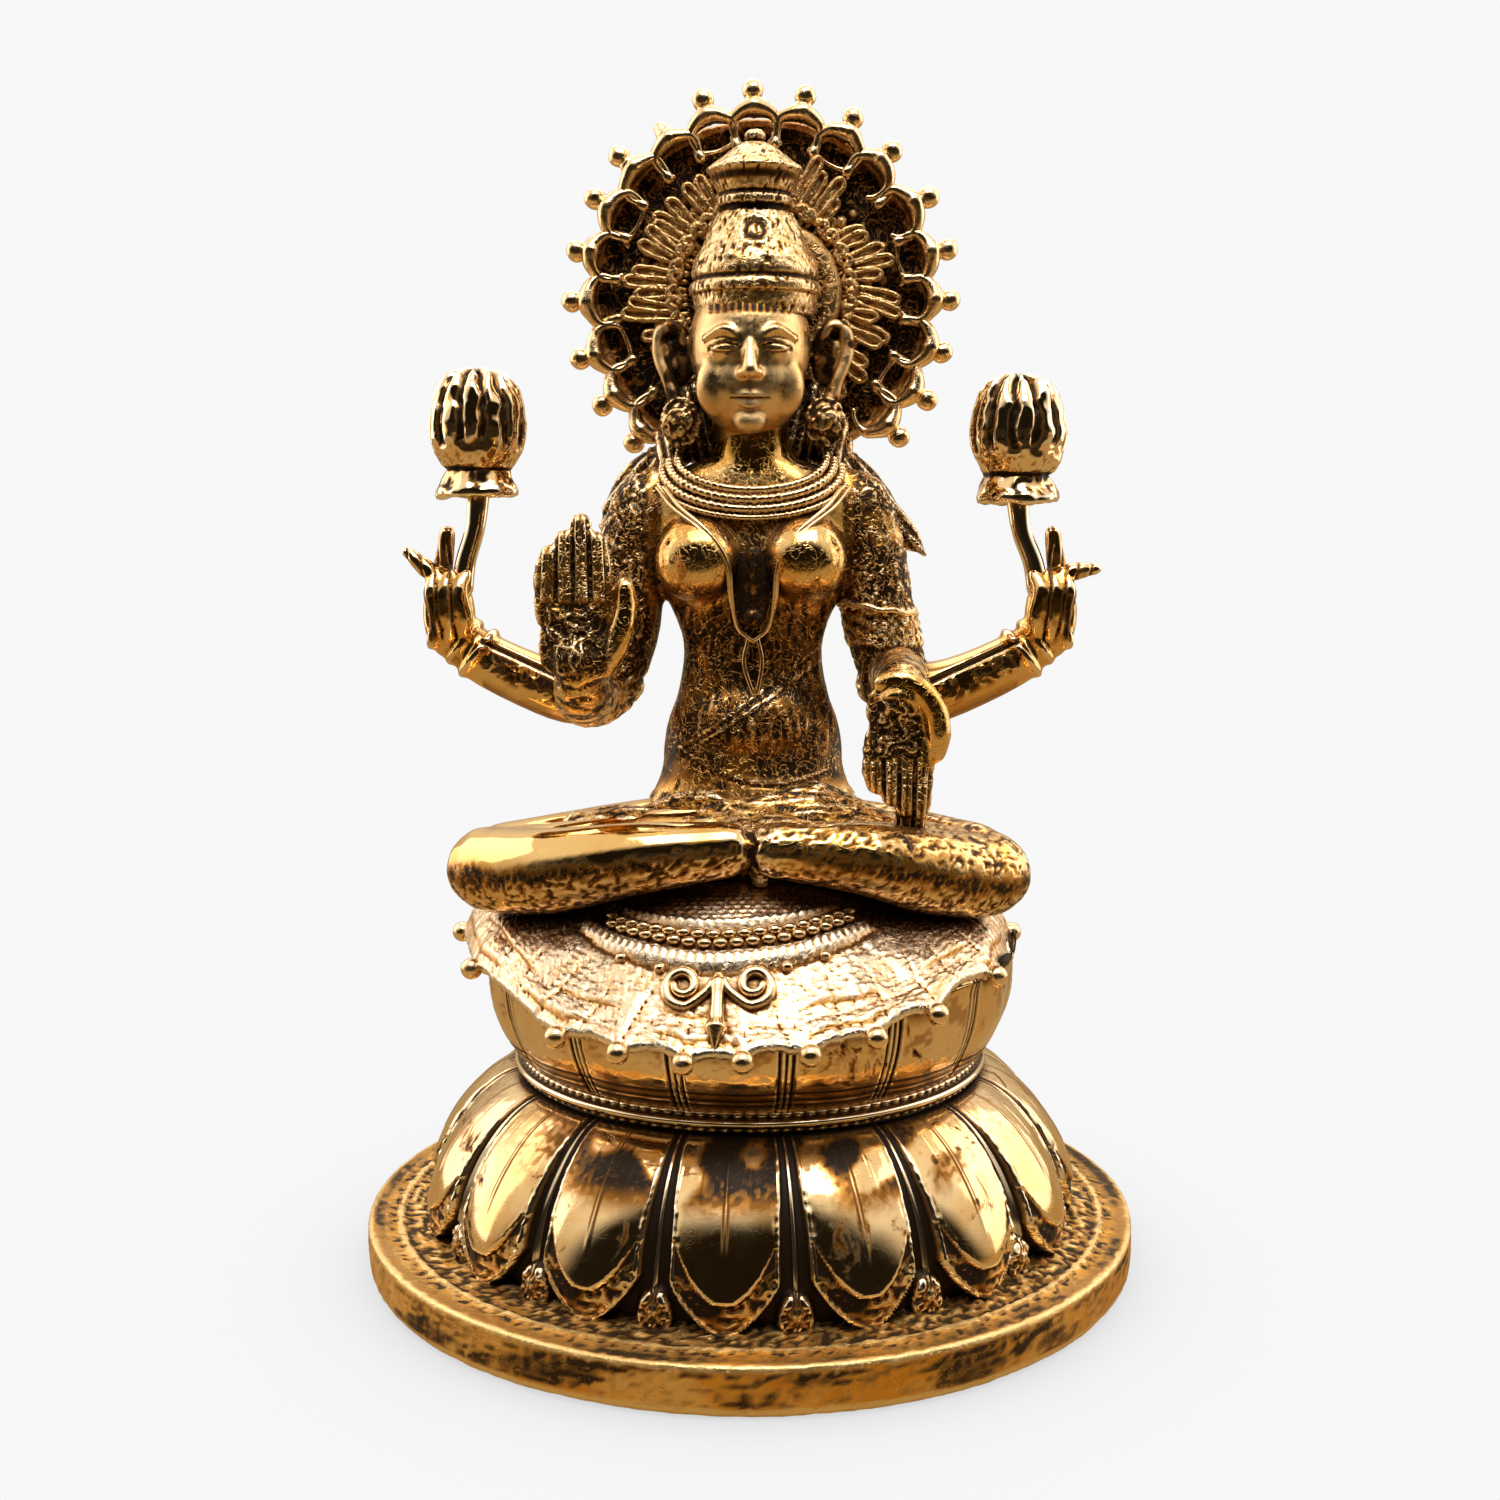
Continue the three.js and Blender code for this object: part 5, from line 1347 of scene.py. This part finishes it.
def makeHaloRim(finish):
    bm = bmesh.new()
    for i, (turn, reach) in enumerate(halo["beads"]):
        grow = reach / halo["circle"]
        sway = 0.6 * noiseAt(i * 3.1, 0, 0)
        high = 0.5 * noiseAt(i * 2.3, 7, 0)
        wide = 1 + 0.22 * noiseAt(i * 1.9, 3, 0)
        # one broad ribbon runs round each niche
        arch = [(-1.5, 14.8), (-2.0, 15.3), (-2.3, 16.4), (-2.1, 17.3), (-1.1, 18.05 + high),
                (sway, 18.35 + high), (1.1, 18.05 + high), (2.1, 17.3), (2.3, 16.4), (2.0, 15.3), (1.5, 14.8)]
        limb(bm, [onHalo(turn, s * wide + sway * 0.4, r * grow, 1.7) for s, r in arch],
             [0.30, 0.36, 0.66, 1.08, 0.66, 0.36, 0.30], sides=8, steps=32, widen=1.5)
        if i % 3 == 1:
            # a thin ledge closes some of the niches below
            ledge = [(-2.1, 15.2), (-1.2, 14.85), (0, 14.75 + high * 0.6), (1.2, 14.85), (2.1, 15.2)]
            limb(bm, [onHalo(turn, s, r * grow, 1.5) for s, r in ledge], [0.36, 0.28, 0.36], sides=8,
                 steps=14, widen=1.8)
        # a solid wedge joins the arches, with a small knob at its inner end
        wedge = [onHalo(turn + halo["wedge"], 0, r, lift)
                 for r, lift in ((14.9, 1.8), (16.2, 1.4), (17.0, 1.0))]
        limb(bm, wedge, [0.62, 0.5, 0.4], sides=10, steps=6)
        # a tent-shaped cap over the arch, drawn out into the bead's neck
        limb(bm, [onHalo(turn, sway * 0.4, 18.3 * grow, 2.0), onHalo(turn, sway * 0.3, 18.9 * grow, 1.7),
                  onHalo(turn, 0, reach - 0.3, 1.4)],
             [0.7, 1.0, 0.85, 0.7], sides=14, steps=8, widen=0.8)
        if i == halo["missing"]:
            continue
        bead(bm, onHalo(turn, 0, reach, 1.4), halo["beadRadius"], 3)

    def relief(co, normal):
        grit = noise(co * 0.9)
        x, z = co.x - halo["x"], co.z - seat - halo["z"]
        # painted shade on the sides turned away from the front and on the inner sides facing the halo's
        # middle
        inward = -(x * normal.x + z * normal.z) / max(hypot(x, z), 1.0)
        shadow = 0.5 * ramp(0.0, -0.4, grit) * ramp(-0.7, -0.2, normal.y)
        return 0.10 * grit, max(shadow, 0.8 * ramp(0.50, 0.85, inward))

    carve(bm, relief)
    finishPiece(bm, "haloRim", finish)


def makeHaloPlate(finish):
    bm = bmesh.new()
    boss, ground = halo["boss"], halo["ground"]
    profile = [(0, -0.6), (ground - 0.3, -0.6), (ground, -0.3), (ground, 0.3), (ground - 0.3, 0.6),
               (boss + 0.9, 0.6), (boss + 0.3, 1.0), (boss, 3.2), (boss - 0.5, 3.8), (0, 3.8)]
    lathe(bm, finer(profile, halo["spacing"]), halo["steps"])
    for vert in bm.verts:
        if vert.co.z > 0.9:
            vert.co.x += halo["bossShift"]
    upright = Matrix.Translation(fig(halo["x"], halo["y"], halo["z"])) @ Matrix.Rotation(radians(90), 4, "X")
    bmesh.ops.transform(bm, matrix=upright, verts=bm.verts)

    def relief(co, normal):
        reach = hypot(co.x - halo["x"], co.z - seat - halo["z"])
        if normal.y > 0.3:
            return 0.06 * noise(co * 0.4), 0.0
        # painted shade: black ground behind the arches and feathers and round the boss's edge; plain brown on
        # the boss
        grit = noise(co * 0.7)
        onBoss = 1 - ramp(boss - 0.2, boss + 0.4, reach)
        edge = ridge(reach, boss + 0.2, 0.9)
        return 0.15 * grit * (1 - onBoss), max(mix(1.0, 0.72, onBoss), 0.95 * edge)

    carve(bm, relief)
    finishPiece(bm, "haloPlate", finish)


# fans of long looped feathers, each a raised outline round a dark middle
feather = {"count": 17, "spacing": 17.6, "start": -54.0, "root": 9.4, "tip": 13.7, "half": 0.50,
           "apart": 1.15, "between": 8.6}


def makeFeathers(finish):
    bm = bmesh.new()
    for i in range(feather["count"]):
        turn = feather["start"] + i * feather["spacing"] + 6.0 * noiseAt(i * 2.7, 0, 0)
        high = feather["tip"] + 1.6 * noiseAt(i * 1.3, 5, 0)
        count = 3 if noiseAt(i * 3.7, 9, 0) > 0.08 else 2
        slant = 2.4 * noiseAt(i * 4.1, 3, 0)
        root, half = feather["root"], feather["half"]
        for k in range(count):
            side = k - (count - 1) / 2
            lean = slant + 0.8 * noiseAt(i * 1.7, side * 1.3, 0)
            tip = high - abs(side) * 0.8 + 2.2 * noiseAt(i * 1.9, k * 3.3, 1)
            foot, head = side * 0.9, side * feather["apart"] + lean
            middle = mix(foot, head, 0.5)
            start = root + 1.8 * noiseAt(i * 2.1, k * 1.9, 4)
            mid = mix(start, tip, 0.5)
            lift = 2.3 + 0.5 * noiseAt(i * 3.3, k * 2.9, 6)
            loop = [(foot - half * 0.6, start), (middle - half, mid), (head - half, tip - 0.5), (head, tip),
                    (head + half, tip - 0.5), (middle + half, mid), (foot + half * 0.6, start)]
            limb(bm, [onHalo(turn, s, r, lift) for s, r in loop], [0.27, 0.30, 0.25], sides=6, steps=18,
                 widen=1.4)
            quill = [onHalo(turn, foot, start, lift - 0.7), onHalo(turn, middle, mid, lift - 0.45),
                     onHalo(turn, head, tip - 0.3, lift - 0.7)]
            limb(bm, quill, [0.45, 0.62, 0.50], sides=8, steps=8)
        for side in (-1, 1):
            inner = turn + feather["between"] + side * 3.2
            size = (1.0 + 0.5 * noiseAt(i * 2.9, side, 8)) ** 0.2
            loop = [(-0.3, 7.9), (-0.65, 9.4), (-0.55, 10.2 * size), (0, 10.9 * size), (0.55, 10.2 * size),
                    (0.65, 9.4), (0.3, 7.9)]
            limb(bm, [onHalo(inner, s, r, 1.9) for s, r in loop], [0.30, 0.32, 0.28], sides=6, steps=16,
                 widen=1.4)
        # a curled root with small knobs
        for side in (-1, 1):
            curl = [(0.2, 9.0), (0.9, 9.6), (1.4, 9.0), (1.1, 8.4), (0.6, 8.7)]
            limb(bm, [onHalo(turn, side * s, r, 2.4) for s, r in curl], [0.48, 0.44, 0.38, 0.3], sides=8,
                 steps=12)
        bead(bm, onHalo(turn + 8.3, 0, 10.6 + 0.5 * slant, 1.6), 0.7)
        bead(bm, onHalo(turn + 7.6, 0, 12.2 + 0.5 * slant, 1.2), 0.5)

    def relief(co, normal):
        grit = noise(co * 1.3) + 0.5 * noise(co * 3.0)
        # painted shade: the feathers are darkened in flecks and go black close to the plate
        forward = halo["y"] - co.y
        return 0.14 * grit, max(0.50 + 0.50 * ramp(0.14, -0.20, grit), ramp(2.4, 1.9, forward))

    carve(bm, relief)
    finishPiece(bm, "haloFeathers", finish)


# hands and lower arms

# an open hand: a flat palm, and fingers laid close together; tips and roots are measured from the palm
def openHand(bm, wrist, palm, wide, tall, tips, root, thumb, thumbRadii):
    up = 1 if tips[0] > 0 else -1
    middle, deep, level = palm
    limb(bm, figs([wrist, (middle, deep, level - up * tall * 0.6)]), [wide * 0.62, wide * 0.72],
         across=(1, 0, 0))
    limb(bm, figs([(middle, deep, level - up * tall * 0.7), palm, (middle, deep, level + up * tall * 1.2)]),
         [1.25, 1.3, 1.15, 0.95], sides=20, across=(1, 0, 0), widen=wide / 1.28)
    finger = 2 * wide / len(tips)
    for i, tip in enumerate(tips):
        x = middle - wide + finger * (i + 0.5)
        joints = [(x, deep, level + root), (x - 0.1, deep - 0.15, level + mix(root, tip, 0.6)),
                  (mix(x, middle, 0.16), deep - 0.1, level + tip - 0.5 * up)]
        limb(bm, figs(joints), [finger * 0.60, finger * 0.60, finger * 0.54], across=(1, 0, 0), widen=1.12)
    limb(bm, figs(thumb), thumbRadii, sides=14)


# engraved lines of the two open palms, as pairs of points across and up from the palm's middle
palmLines = {
    "raised": (((-1.9, 1.6), (2.2, 2.3)), ((-1.6, 0.2), (1.8, 0.9)), ((-0.4, 2.2), (0.2, -3.4)),
               ((-1.8, -1.2), (1.2, -0.6)), ((1.6, 2.0), (0.6, -2.6)), ((-1.9, 2.4), (-1.2, -3.2)),
               ((0.3, 1.3), (1.9, -0.8))),
    "lowered": (((-2.3, 0.9), (2.0, 1.6)), ((-0.2, 3.4), (0.3, -0.8)), ((-2.2, 0.2), (1.7, 0.4)),
                ((-1.6, -2.4), (2.0, -0.4)), ((-1.9, -3.0), (1.6, -1.8)), ((-2.0, 2.6), (-0.8, 0.4)),
                ((1.9, 2.8), (0.7, 0.6)), ((-0.6, -1.0), (-1.9, -2.0)))}


# how far a place is from a line between two points
def fromLine(across, up, line):
    (x0, y0), (x1, y1) = line
    long = hypot(x1 - x0, y1 - y0)
    along = min(max(((across - x0) * (x1 - x0) + (up - y0) * (y1 - y0)) / long ** 2, 0.0), 1.0)
    return hypot(across - mix(x0, x1, along), up - mix(y0, y1, along))


# the raised hand's thumb, and the thick smooth ridge over the lowered hand's wrist and down its outer side
raisedThumb = ((-15.6, -15.0, 23.8), (-13.4, -15.6, 25.4), (-12.2, -15.9, 27.8), (-11.7, -15.7, 30.2),
               (-11.75, -15.6, 32.0))
loweredArc = ((12.4, -15.3, 22.9), (14.3, -15.7, 23.2), (16.2, -15.8, 22.1), (17.5, -15.8, 20.2),
              (17.9, -15.7, 18.0), (17.7, -15.4, 16.2))
raisedHand = {"middle": -16.6, "deep": -15.2, "level": 27.6, "wide": 3.4}
loweredHand = {"middle": 14.2, "deep": -15, "level": 19.0, "wide": 3.15}


def makeFrontHands(finish):
    bm = bmesh.new()
    limb(bm, figs([(-15, 0.6, 20.8), (-16.2, -6, 20.6), (-16.3, -12.6, 22.4), (-16.3, -14.6, 24.6)]),
         [3.3, 3.1, 2.6, 2.0], sides=18)
    hand = raisedHand
    openHand(bm, (-16.3, -14.4, 23.6), (hand["middle"], hand["deep"], hand["level"]), hand["wide"], 4.0,
             (7.9, 9.4, 10.9, 9.2), 1.5, raisedThumb, [1.5, 1.4, 1.25, 1.05, 0.85])
    limb(bm, figs([(15, 0.6, 22.2), (14.9, -7, 22.6), (14.5, -13.0, 22.4)]), [3.2, 2.8, 2.4], sides=18)
    hand = loweredHand
    openHand(bm, (14.4, -13.8, 22.4), (hand["middle"], hand["deep"], hand["level"]), hand["wide"], 4.0,
             (-6.5, -7.7, -8.7, -8.9), -1.5, loweredArc, [0.85, 1.15, 1.25, 1.25, 1.2, 0.95])
    limb(bm, figs([(15.6, -14.6, 11.6), (15.4, -13.4, 8.0)]), [0.9, 1.1], widen=1.6, across=(1, 0, 0))
    bm = fused(bm, voxel=0.215, smoothing=2)

    def relief(co, normal):
        z = co.z - seat
        plain = 0.3
        front = ramp(-0.1, -0.5, normal.y)
        line = noiseAt(co.x * 0.5, co.y * 0.6, co.z * 1.3)
        fine = noiseAt(co.x * 1.2, co.y * 1.2, co.z * 3.0)
        rise = 0.16 * line + 0.05 * fine
        dirtAndShade = 0.9 * ramp(0.15, -0.15, line + 0.4 * fine)
        if co.y < -13.6 and front > 0:
            raised = co.x < 0
            hand = raisedHand if raised else loweredHand
            wide = hand["wide"]
            across, up = co.x - hand["middle"], z - hand["level"]
            inside = ramp(wide + 0.1, wide - 0.5, abs(across))
            fingers = ramp(2.6, 3.4, up) if raised else ramp(-3.0, -3.8, up)
            palm = inside * (1 - fingers) * (ramp(-4.2, -3.4, up) if raised else ramp(4.4, 3.6, up))
            finger = 2 * wide / 4
            split = ((across * (1 + 0.012 * abs(up)) + wide) / finger) % 1
            cut = ridge(split, 0.0, 0.17) + ridge(split, 1.0, 0.17)
            line = ridge(split, 0.5, 0.20)
            onFingers = fingers * front * inside
            onHand = max(onFingers, palm * front)
            rise = rise * (1 - onHand) - (0.55 * cut + 0.06 * line) * onFingers
            dirtAndShade = max(dirtAndShade * (1 - onHand), max(cut, (0.75 if raised else 0.9) * line) * onFingers)
            # raised threads over a black palm, with a few bright knobs
            stray = noise(co * 0.55), noise(co * 0.55 + Vector((9, 0, 0)))
            near = min(fromLine(across + 1.5 * stray[0], up + 1.5 * stray[1], one)
                       for one in palmLines["raised" if raised else "lowered"])
            thread = ramp(0.24, 0.06, near)
            grit = noise(co * 1.4)
            knob = ramp(0.42, 0.55, noise(co * 0.9 + Vector((7, 0, 0)))) * ramp(0.1, 0.3, grit)
            rise += (0.30 * thread + 0.25 * knob - 0.22) * palm * front
            dirtAndShade = max(dirtAndShade, palm * front * (1 - max(thread * ramp(-0.4, 0.1, grit), knob)))
            # the thumb is left smooth and bright
            onThumb = ramp(wide - 0.1, wide + 0.5, across)
            if not raised:
                arc = [(x, height) for x, _, height in loweredArc]
                onThumb = ramp(1.7, 1.25, min(fromLine(co.x, z, ends) for ends in zip(arc, arc[1:])))
            plain = mix(plain, 1.0, onThumb)
            dirtAndShade *= 1 - onThumb
            rise *= 1 - onThumb
        return rise, dirtAndShade, plain

    carve(bm, relief)
    finishPiece(bm, "frontHands", finish)


def makeRearArms(finish):
    bm = bmesh.new()
    for side, tip in ((-1, (34.9, -1, 35.0)), (1, (35.3, -1, 33.3))):
        forearm = [(13.6, 2, 21.4), (17.5, 1.9, 20.3), (21.4, 1.5, 21.1), (27.4, 0.6, 24.0),
                   (30.0, 0.2, 26.4)]
        limb(bm, figs(forearm, side), [2.8, 3.4, 3.2, 2.9, 2.7, 2.0], sides=18)
        ball(bm, fig(side * 30.9, 0, 28.6), (2.7, 2.0, 4.6), fine=20)
        # fingers fold round the stem, and one points outwards
        for i in range(3):
            x = 29.4 + i * 1.4
            finger = [(x + 0.3, -1.0, 25.6), (x - 0.4, -2.2, 28.2), (x + 0.1, -2.3, 31.0),
                      (x - 0.6, -1.4, 32.8)]
            limb(bm, figs(finger, side), [0.7, 0.95, 0.95, 0.6])
        limb(bm, figs([(30.6, -1.2, 31.0), (32.4, -1.2, 32.8), tip], side), [1.2, 1.1, 0.95, 0.6])
        limb(bm, figs([(31.8, 0.6, 31.8), (31.3, 0.4, 34.6), (31.0, 0.4, 36.9)], side), [1.1, 1.0, 0.85])
        # bangles
        for place, size in ((0.0, 3.0), (1.4, 2.7)):
            loop = [(28.0 + place - 0.558 * size * cos(a), 0.4 + 0.85 * size * sin(a),
                     24.6 + 0.8 * place + 0.702 * size * cos(a)) for a in turns(20)]
            limb(bm, figs(loop, side), [0.5, 0.5], sides=8, steps=40, across=(side * 0.78, 0, 0.62))
    bm = fused(bm, voxel=0.25, smoothing=2)

    def relief(co, normal):
        z = co.z - seat
        rise, dirtAndShade, plain = 0.0, 0.0, 0.7
        grit = noise(co * 0.55)
        if abs(co.x) < 27.6 and normal.y < 0.3:
            # a smooth edge runs along the top, a black groove under it, and mottled chasing below; the
            # underside is darkened with painted shade
            top = z - (20.0 + max(0.0, abs(co.x) - 18) * 0.48)
            groove = ridge(top, 1.5, 0.42)
            rise -= 0.40 * groove
            swirl = noise(co * 1.0)
            below = ramp(1.3, 0.5, top) * ramp(-2.4, -0.8, top)
            rise += 0.14 * below * (0.5 - ramp(0.0, 0.15, abs(swirl)))
            mottled = below * 0.85 * ramp(-0.05, 0.25, swirl + 0.6 * grit)
            dirtAndShade = max(groove, mottled, 0.42 * ramp(-0.4, -0.8, normal.z) + 0.1 * grit)
            plain = 1 - 0.5 * below
        elif abs(co.x) > 29.5:
            # the back of the hand is a long black hollow inside a bright rim
            hollow = ridge(abs(co.x), 32.2, 0.9) * ramp(0.2, -0.3, normal.y)
            hollow *= window(25.6, 26.6, 30.2, 31.2, z)
            # black lines part the folded fingers
            split = ((abs(co.x) - 28.6 - 0.10 * (z - 28)) / 1.4 + 0.15 * grit) % 1
            cut = ridge(split, 0.0, 0.20) + ridge(split, 1.0, 0.20)
            cut *= ramp(25.6, 26.6, z) * ramp(0.3, -0.2, normal.y)
            rise -= 0.25 * hollow + 0.22 * cut
            dirtAndShade = max(hollow, 0.9 * cut, 0.35 * ramp(0.0, 0.3, grit))
            plain = 1 - 0.5 * cut
        return rise, dirtAndShade, plain

    carve(bm, relief)
    finishPiece(bm, "rearArms", finish)


# a rough bright rim over the armlet
def makeArmRings(finish):
    bm = bmesh.new()
    middle, reach = fig(13.1, 0.6, 29.3), 3.95
    turn = Matrix.Rotation(radians(9), 4, "Y")
    points = [middle + turn @ Vector((reach * cos(a), reach * sin(a), 0.12 * sin(a * 9))) for a in turns(36)]
    limb(bm, points, [0.42, 0.42], sides=8, steps=72, across=(0, 0, 1), widen=0.8)
    for i, angle in enumerate(turns(22)[:-1]):
        size = 0.34 + 0.12 * noiseAt(i * 1.7, 0, 0)
        bead(bm, middle + turn @ Vector((reach * cos(angle), reach * sin(angle), -0.35)), size, 1)
    finishPiece(bm, "armRings", finish)


# flower buds

bud = {"ribs": 12, "heads": ((-27.6, 0, 41.1), (27.2, 0, 40.5)),
       "stemFeet": ((-29.4, -0.8, 31.2), (29.4, -0.8, 31.2)),
       "profile": ((0, -0.2), (1.2, -0.3), (3.5, -0.6), (4.1, -0.5), (4.2, 0.0), (3.7, 0.9), (3.4, 1.7),
                   (3.2, 2.2), (3.7, 2.7), (4.35, 3.9), (4.85, 5.4), (4.95, 6.8), (4.65, 8.6), (3.95, 10.3),
                   (3.1, 11.4), (1.8, 11.95), (0, 12.05)),
       "spacing": 0.26, "steps": 112}


def makeBuds(finish):
    whole = bmesh.new()
    for head, foot in zip(bud["heads"], bud["stemFeet"]):
        bm = bmesh.new()
        lathe(bm, finer(bud["profile"], bud["spacing"]), bud["steps"])

        def relief(co, normal):
            reach = hypot(co.x, co.y)
            wave = noise(co * 0.5 + Vector((head[0], 0, 0)))
            scribble = noise(co * 1.1 + Vector((head[0], 0, 0)))
            if reach < 0.3:
                return 0.0, 0.0
            if co.z < 2.4:
                # the ragged collar under the petals
                ragged = 0.9 * ramp(1.9, 2.2, co.z) + 0.9 * ramp(0.15, 0.4, scribble)
                return 0.45 * wave + 0.12 * scribble, ragged, 0.8
            turn = atan2(co.x, co.y) + 0.10 * wave
            rib = cos(turn * bud["ribs"])
            groove = ramp(0.1, -0.75, rib)
            # long black ovals low down, narrow lines above them
            oval = groove * ramp(4.2, 5.2, co.z + 0.8 * wave) * (1 - ramp(8.6, 9.6, co.z))
            slit = ramp(-0.55, -0.95, rib) * ramp(8.0, 9.0, co.z)
            jag = 0.30 * rib * ramp(8.5, 11.5, co.z)
            thread = ramp(0.10, 0.02, abs(scribble)) * (1 - ramp(5.5, 7.0, co.z))
            return 0.25 * wave - 0.42 * oval - 0.30 * slit + jag - 0.10 * thread, \
                max(0.92 * oval * ramp(-0.5, 0.1, scribble + 0.2), slit, 0.4 * thread), 0.9

        carve(bm, relief)
        bmesh.ops.translate(bm, vec=fig(*head), verts=bm.verts)
        pour(bm, whole)
        lean = head[0] - foot[0]
        stem = [foot, (foot[0] + lean * 0.25, -0.7, mix(foot[2], head[2], 0.3)),
                (foot[0] + lean * 0.8, -0.4, mix(foot[2], head[2], 0.65)), (head[0], 0, head[2] + 0.6)]
        limb(whole, figs(stem), [1.15, 1.05, 1.0, 1.2], sides=14, steps=16)
    finishPiece(whole, "buds", finish)


# put together

makeCamera()
makeFloor()
makeLamps()
makeSky()
bpy.context.scene.view_settings.view_transform = "Standard"
print("camera, floor and light are in place")

finishes = {name: brassFinish(name, look) for name, look in (
    ("polishedBrass", polished), ("chasedBrass", chased), ("crownBrass", crownLook),
    ("clothBrass", clothLook), ("wallBrass", wallLook), ("faceBrass", faceLook), ("haloBrass", haloLook),
    ("beadBrass", beadLook), ("lotusBrass", lotusLook))}
print("finishes made")
makeBaseDisc(finishes["wallBrass"])
makeLowerLotus(finishes["lotusBrass"])
makeWaistRing(finishes["lotusBrass"])
makeUpperLotus(finishes["lotusBrass"])
print("base, lotus and ring made")
makeCloth(finishes["clothBrass"])
makeClothBeads(finishes["beadBrass"])
makeClothPendant(finishes["beadBrass"])
print("cloth made")
makeLegs(finishes["polishedBrass"])
makeLap(finishes["chasedBrass"])
makeTorso(finishes["chasedBrass"])
makeJewels(finishes["beadBrass"])
makePendant(finishes["polishedBrass"])
print("body made")
makeHead(finishes["faceBrass"])
makeCrown(finishes["crownBrass"])
makeHair(finishes["chasedBrass"])
makeEarrings(finishes["crownBrass"])
print("head and crown made")
makeHaloRim(finishes["beadBrass"])
makeHaloPlate(finishes["haloBrass"])
makeFeathers(finishes["haloBrass"])
print("halo made")
makeFrontHands(finishes["chasedBrass"])
makeRearArms(finishes["polishedBrass"])
makeArmRings(finishes["crownBrass"])
makeBuds(finishes["lotusBrass"])
print("arms and buds made")
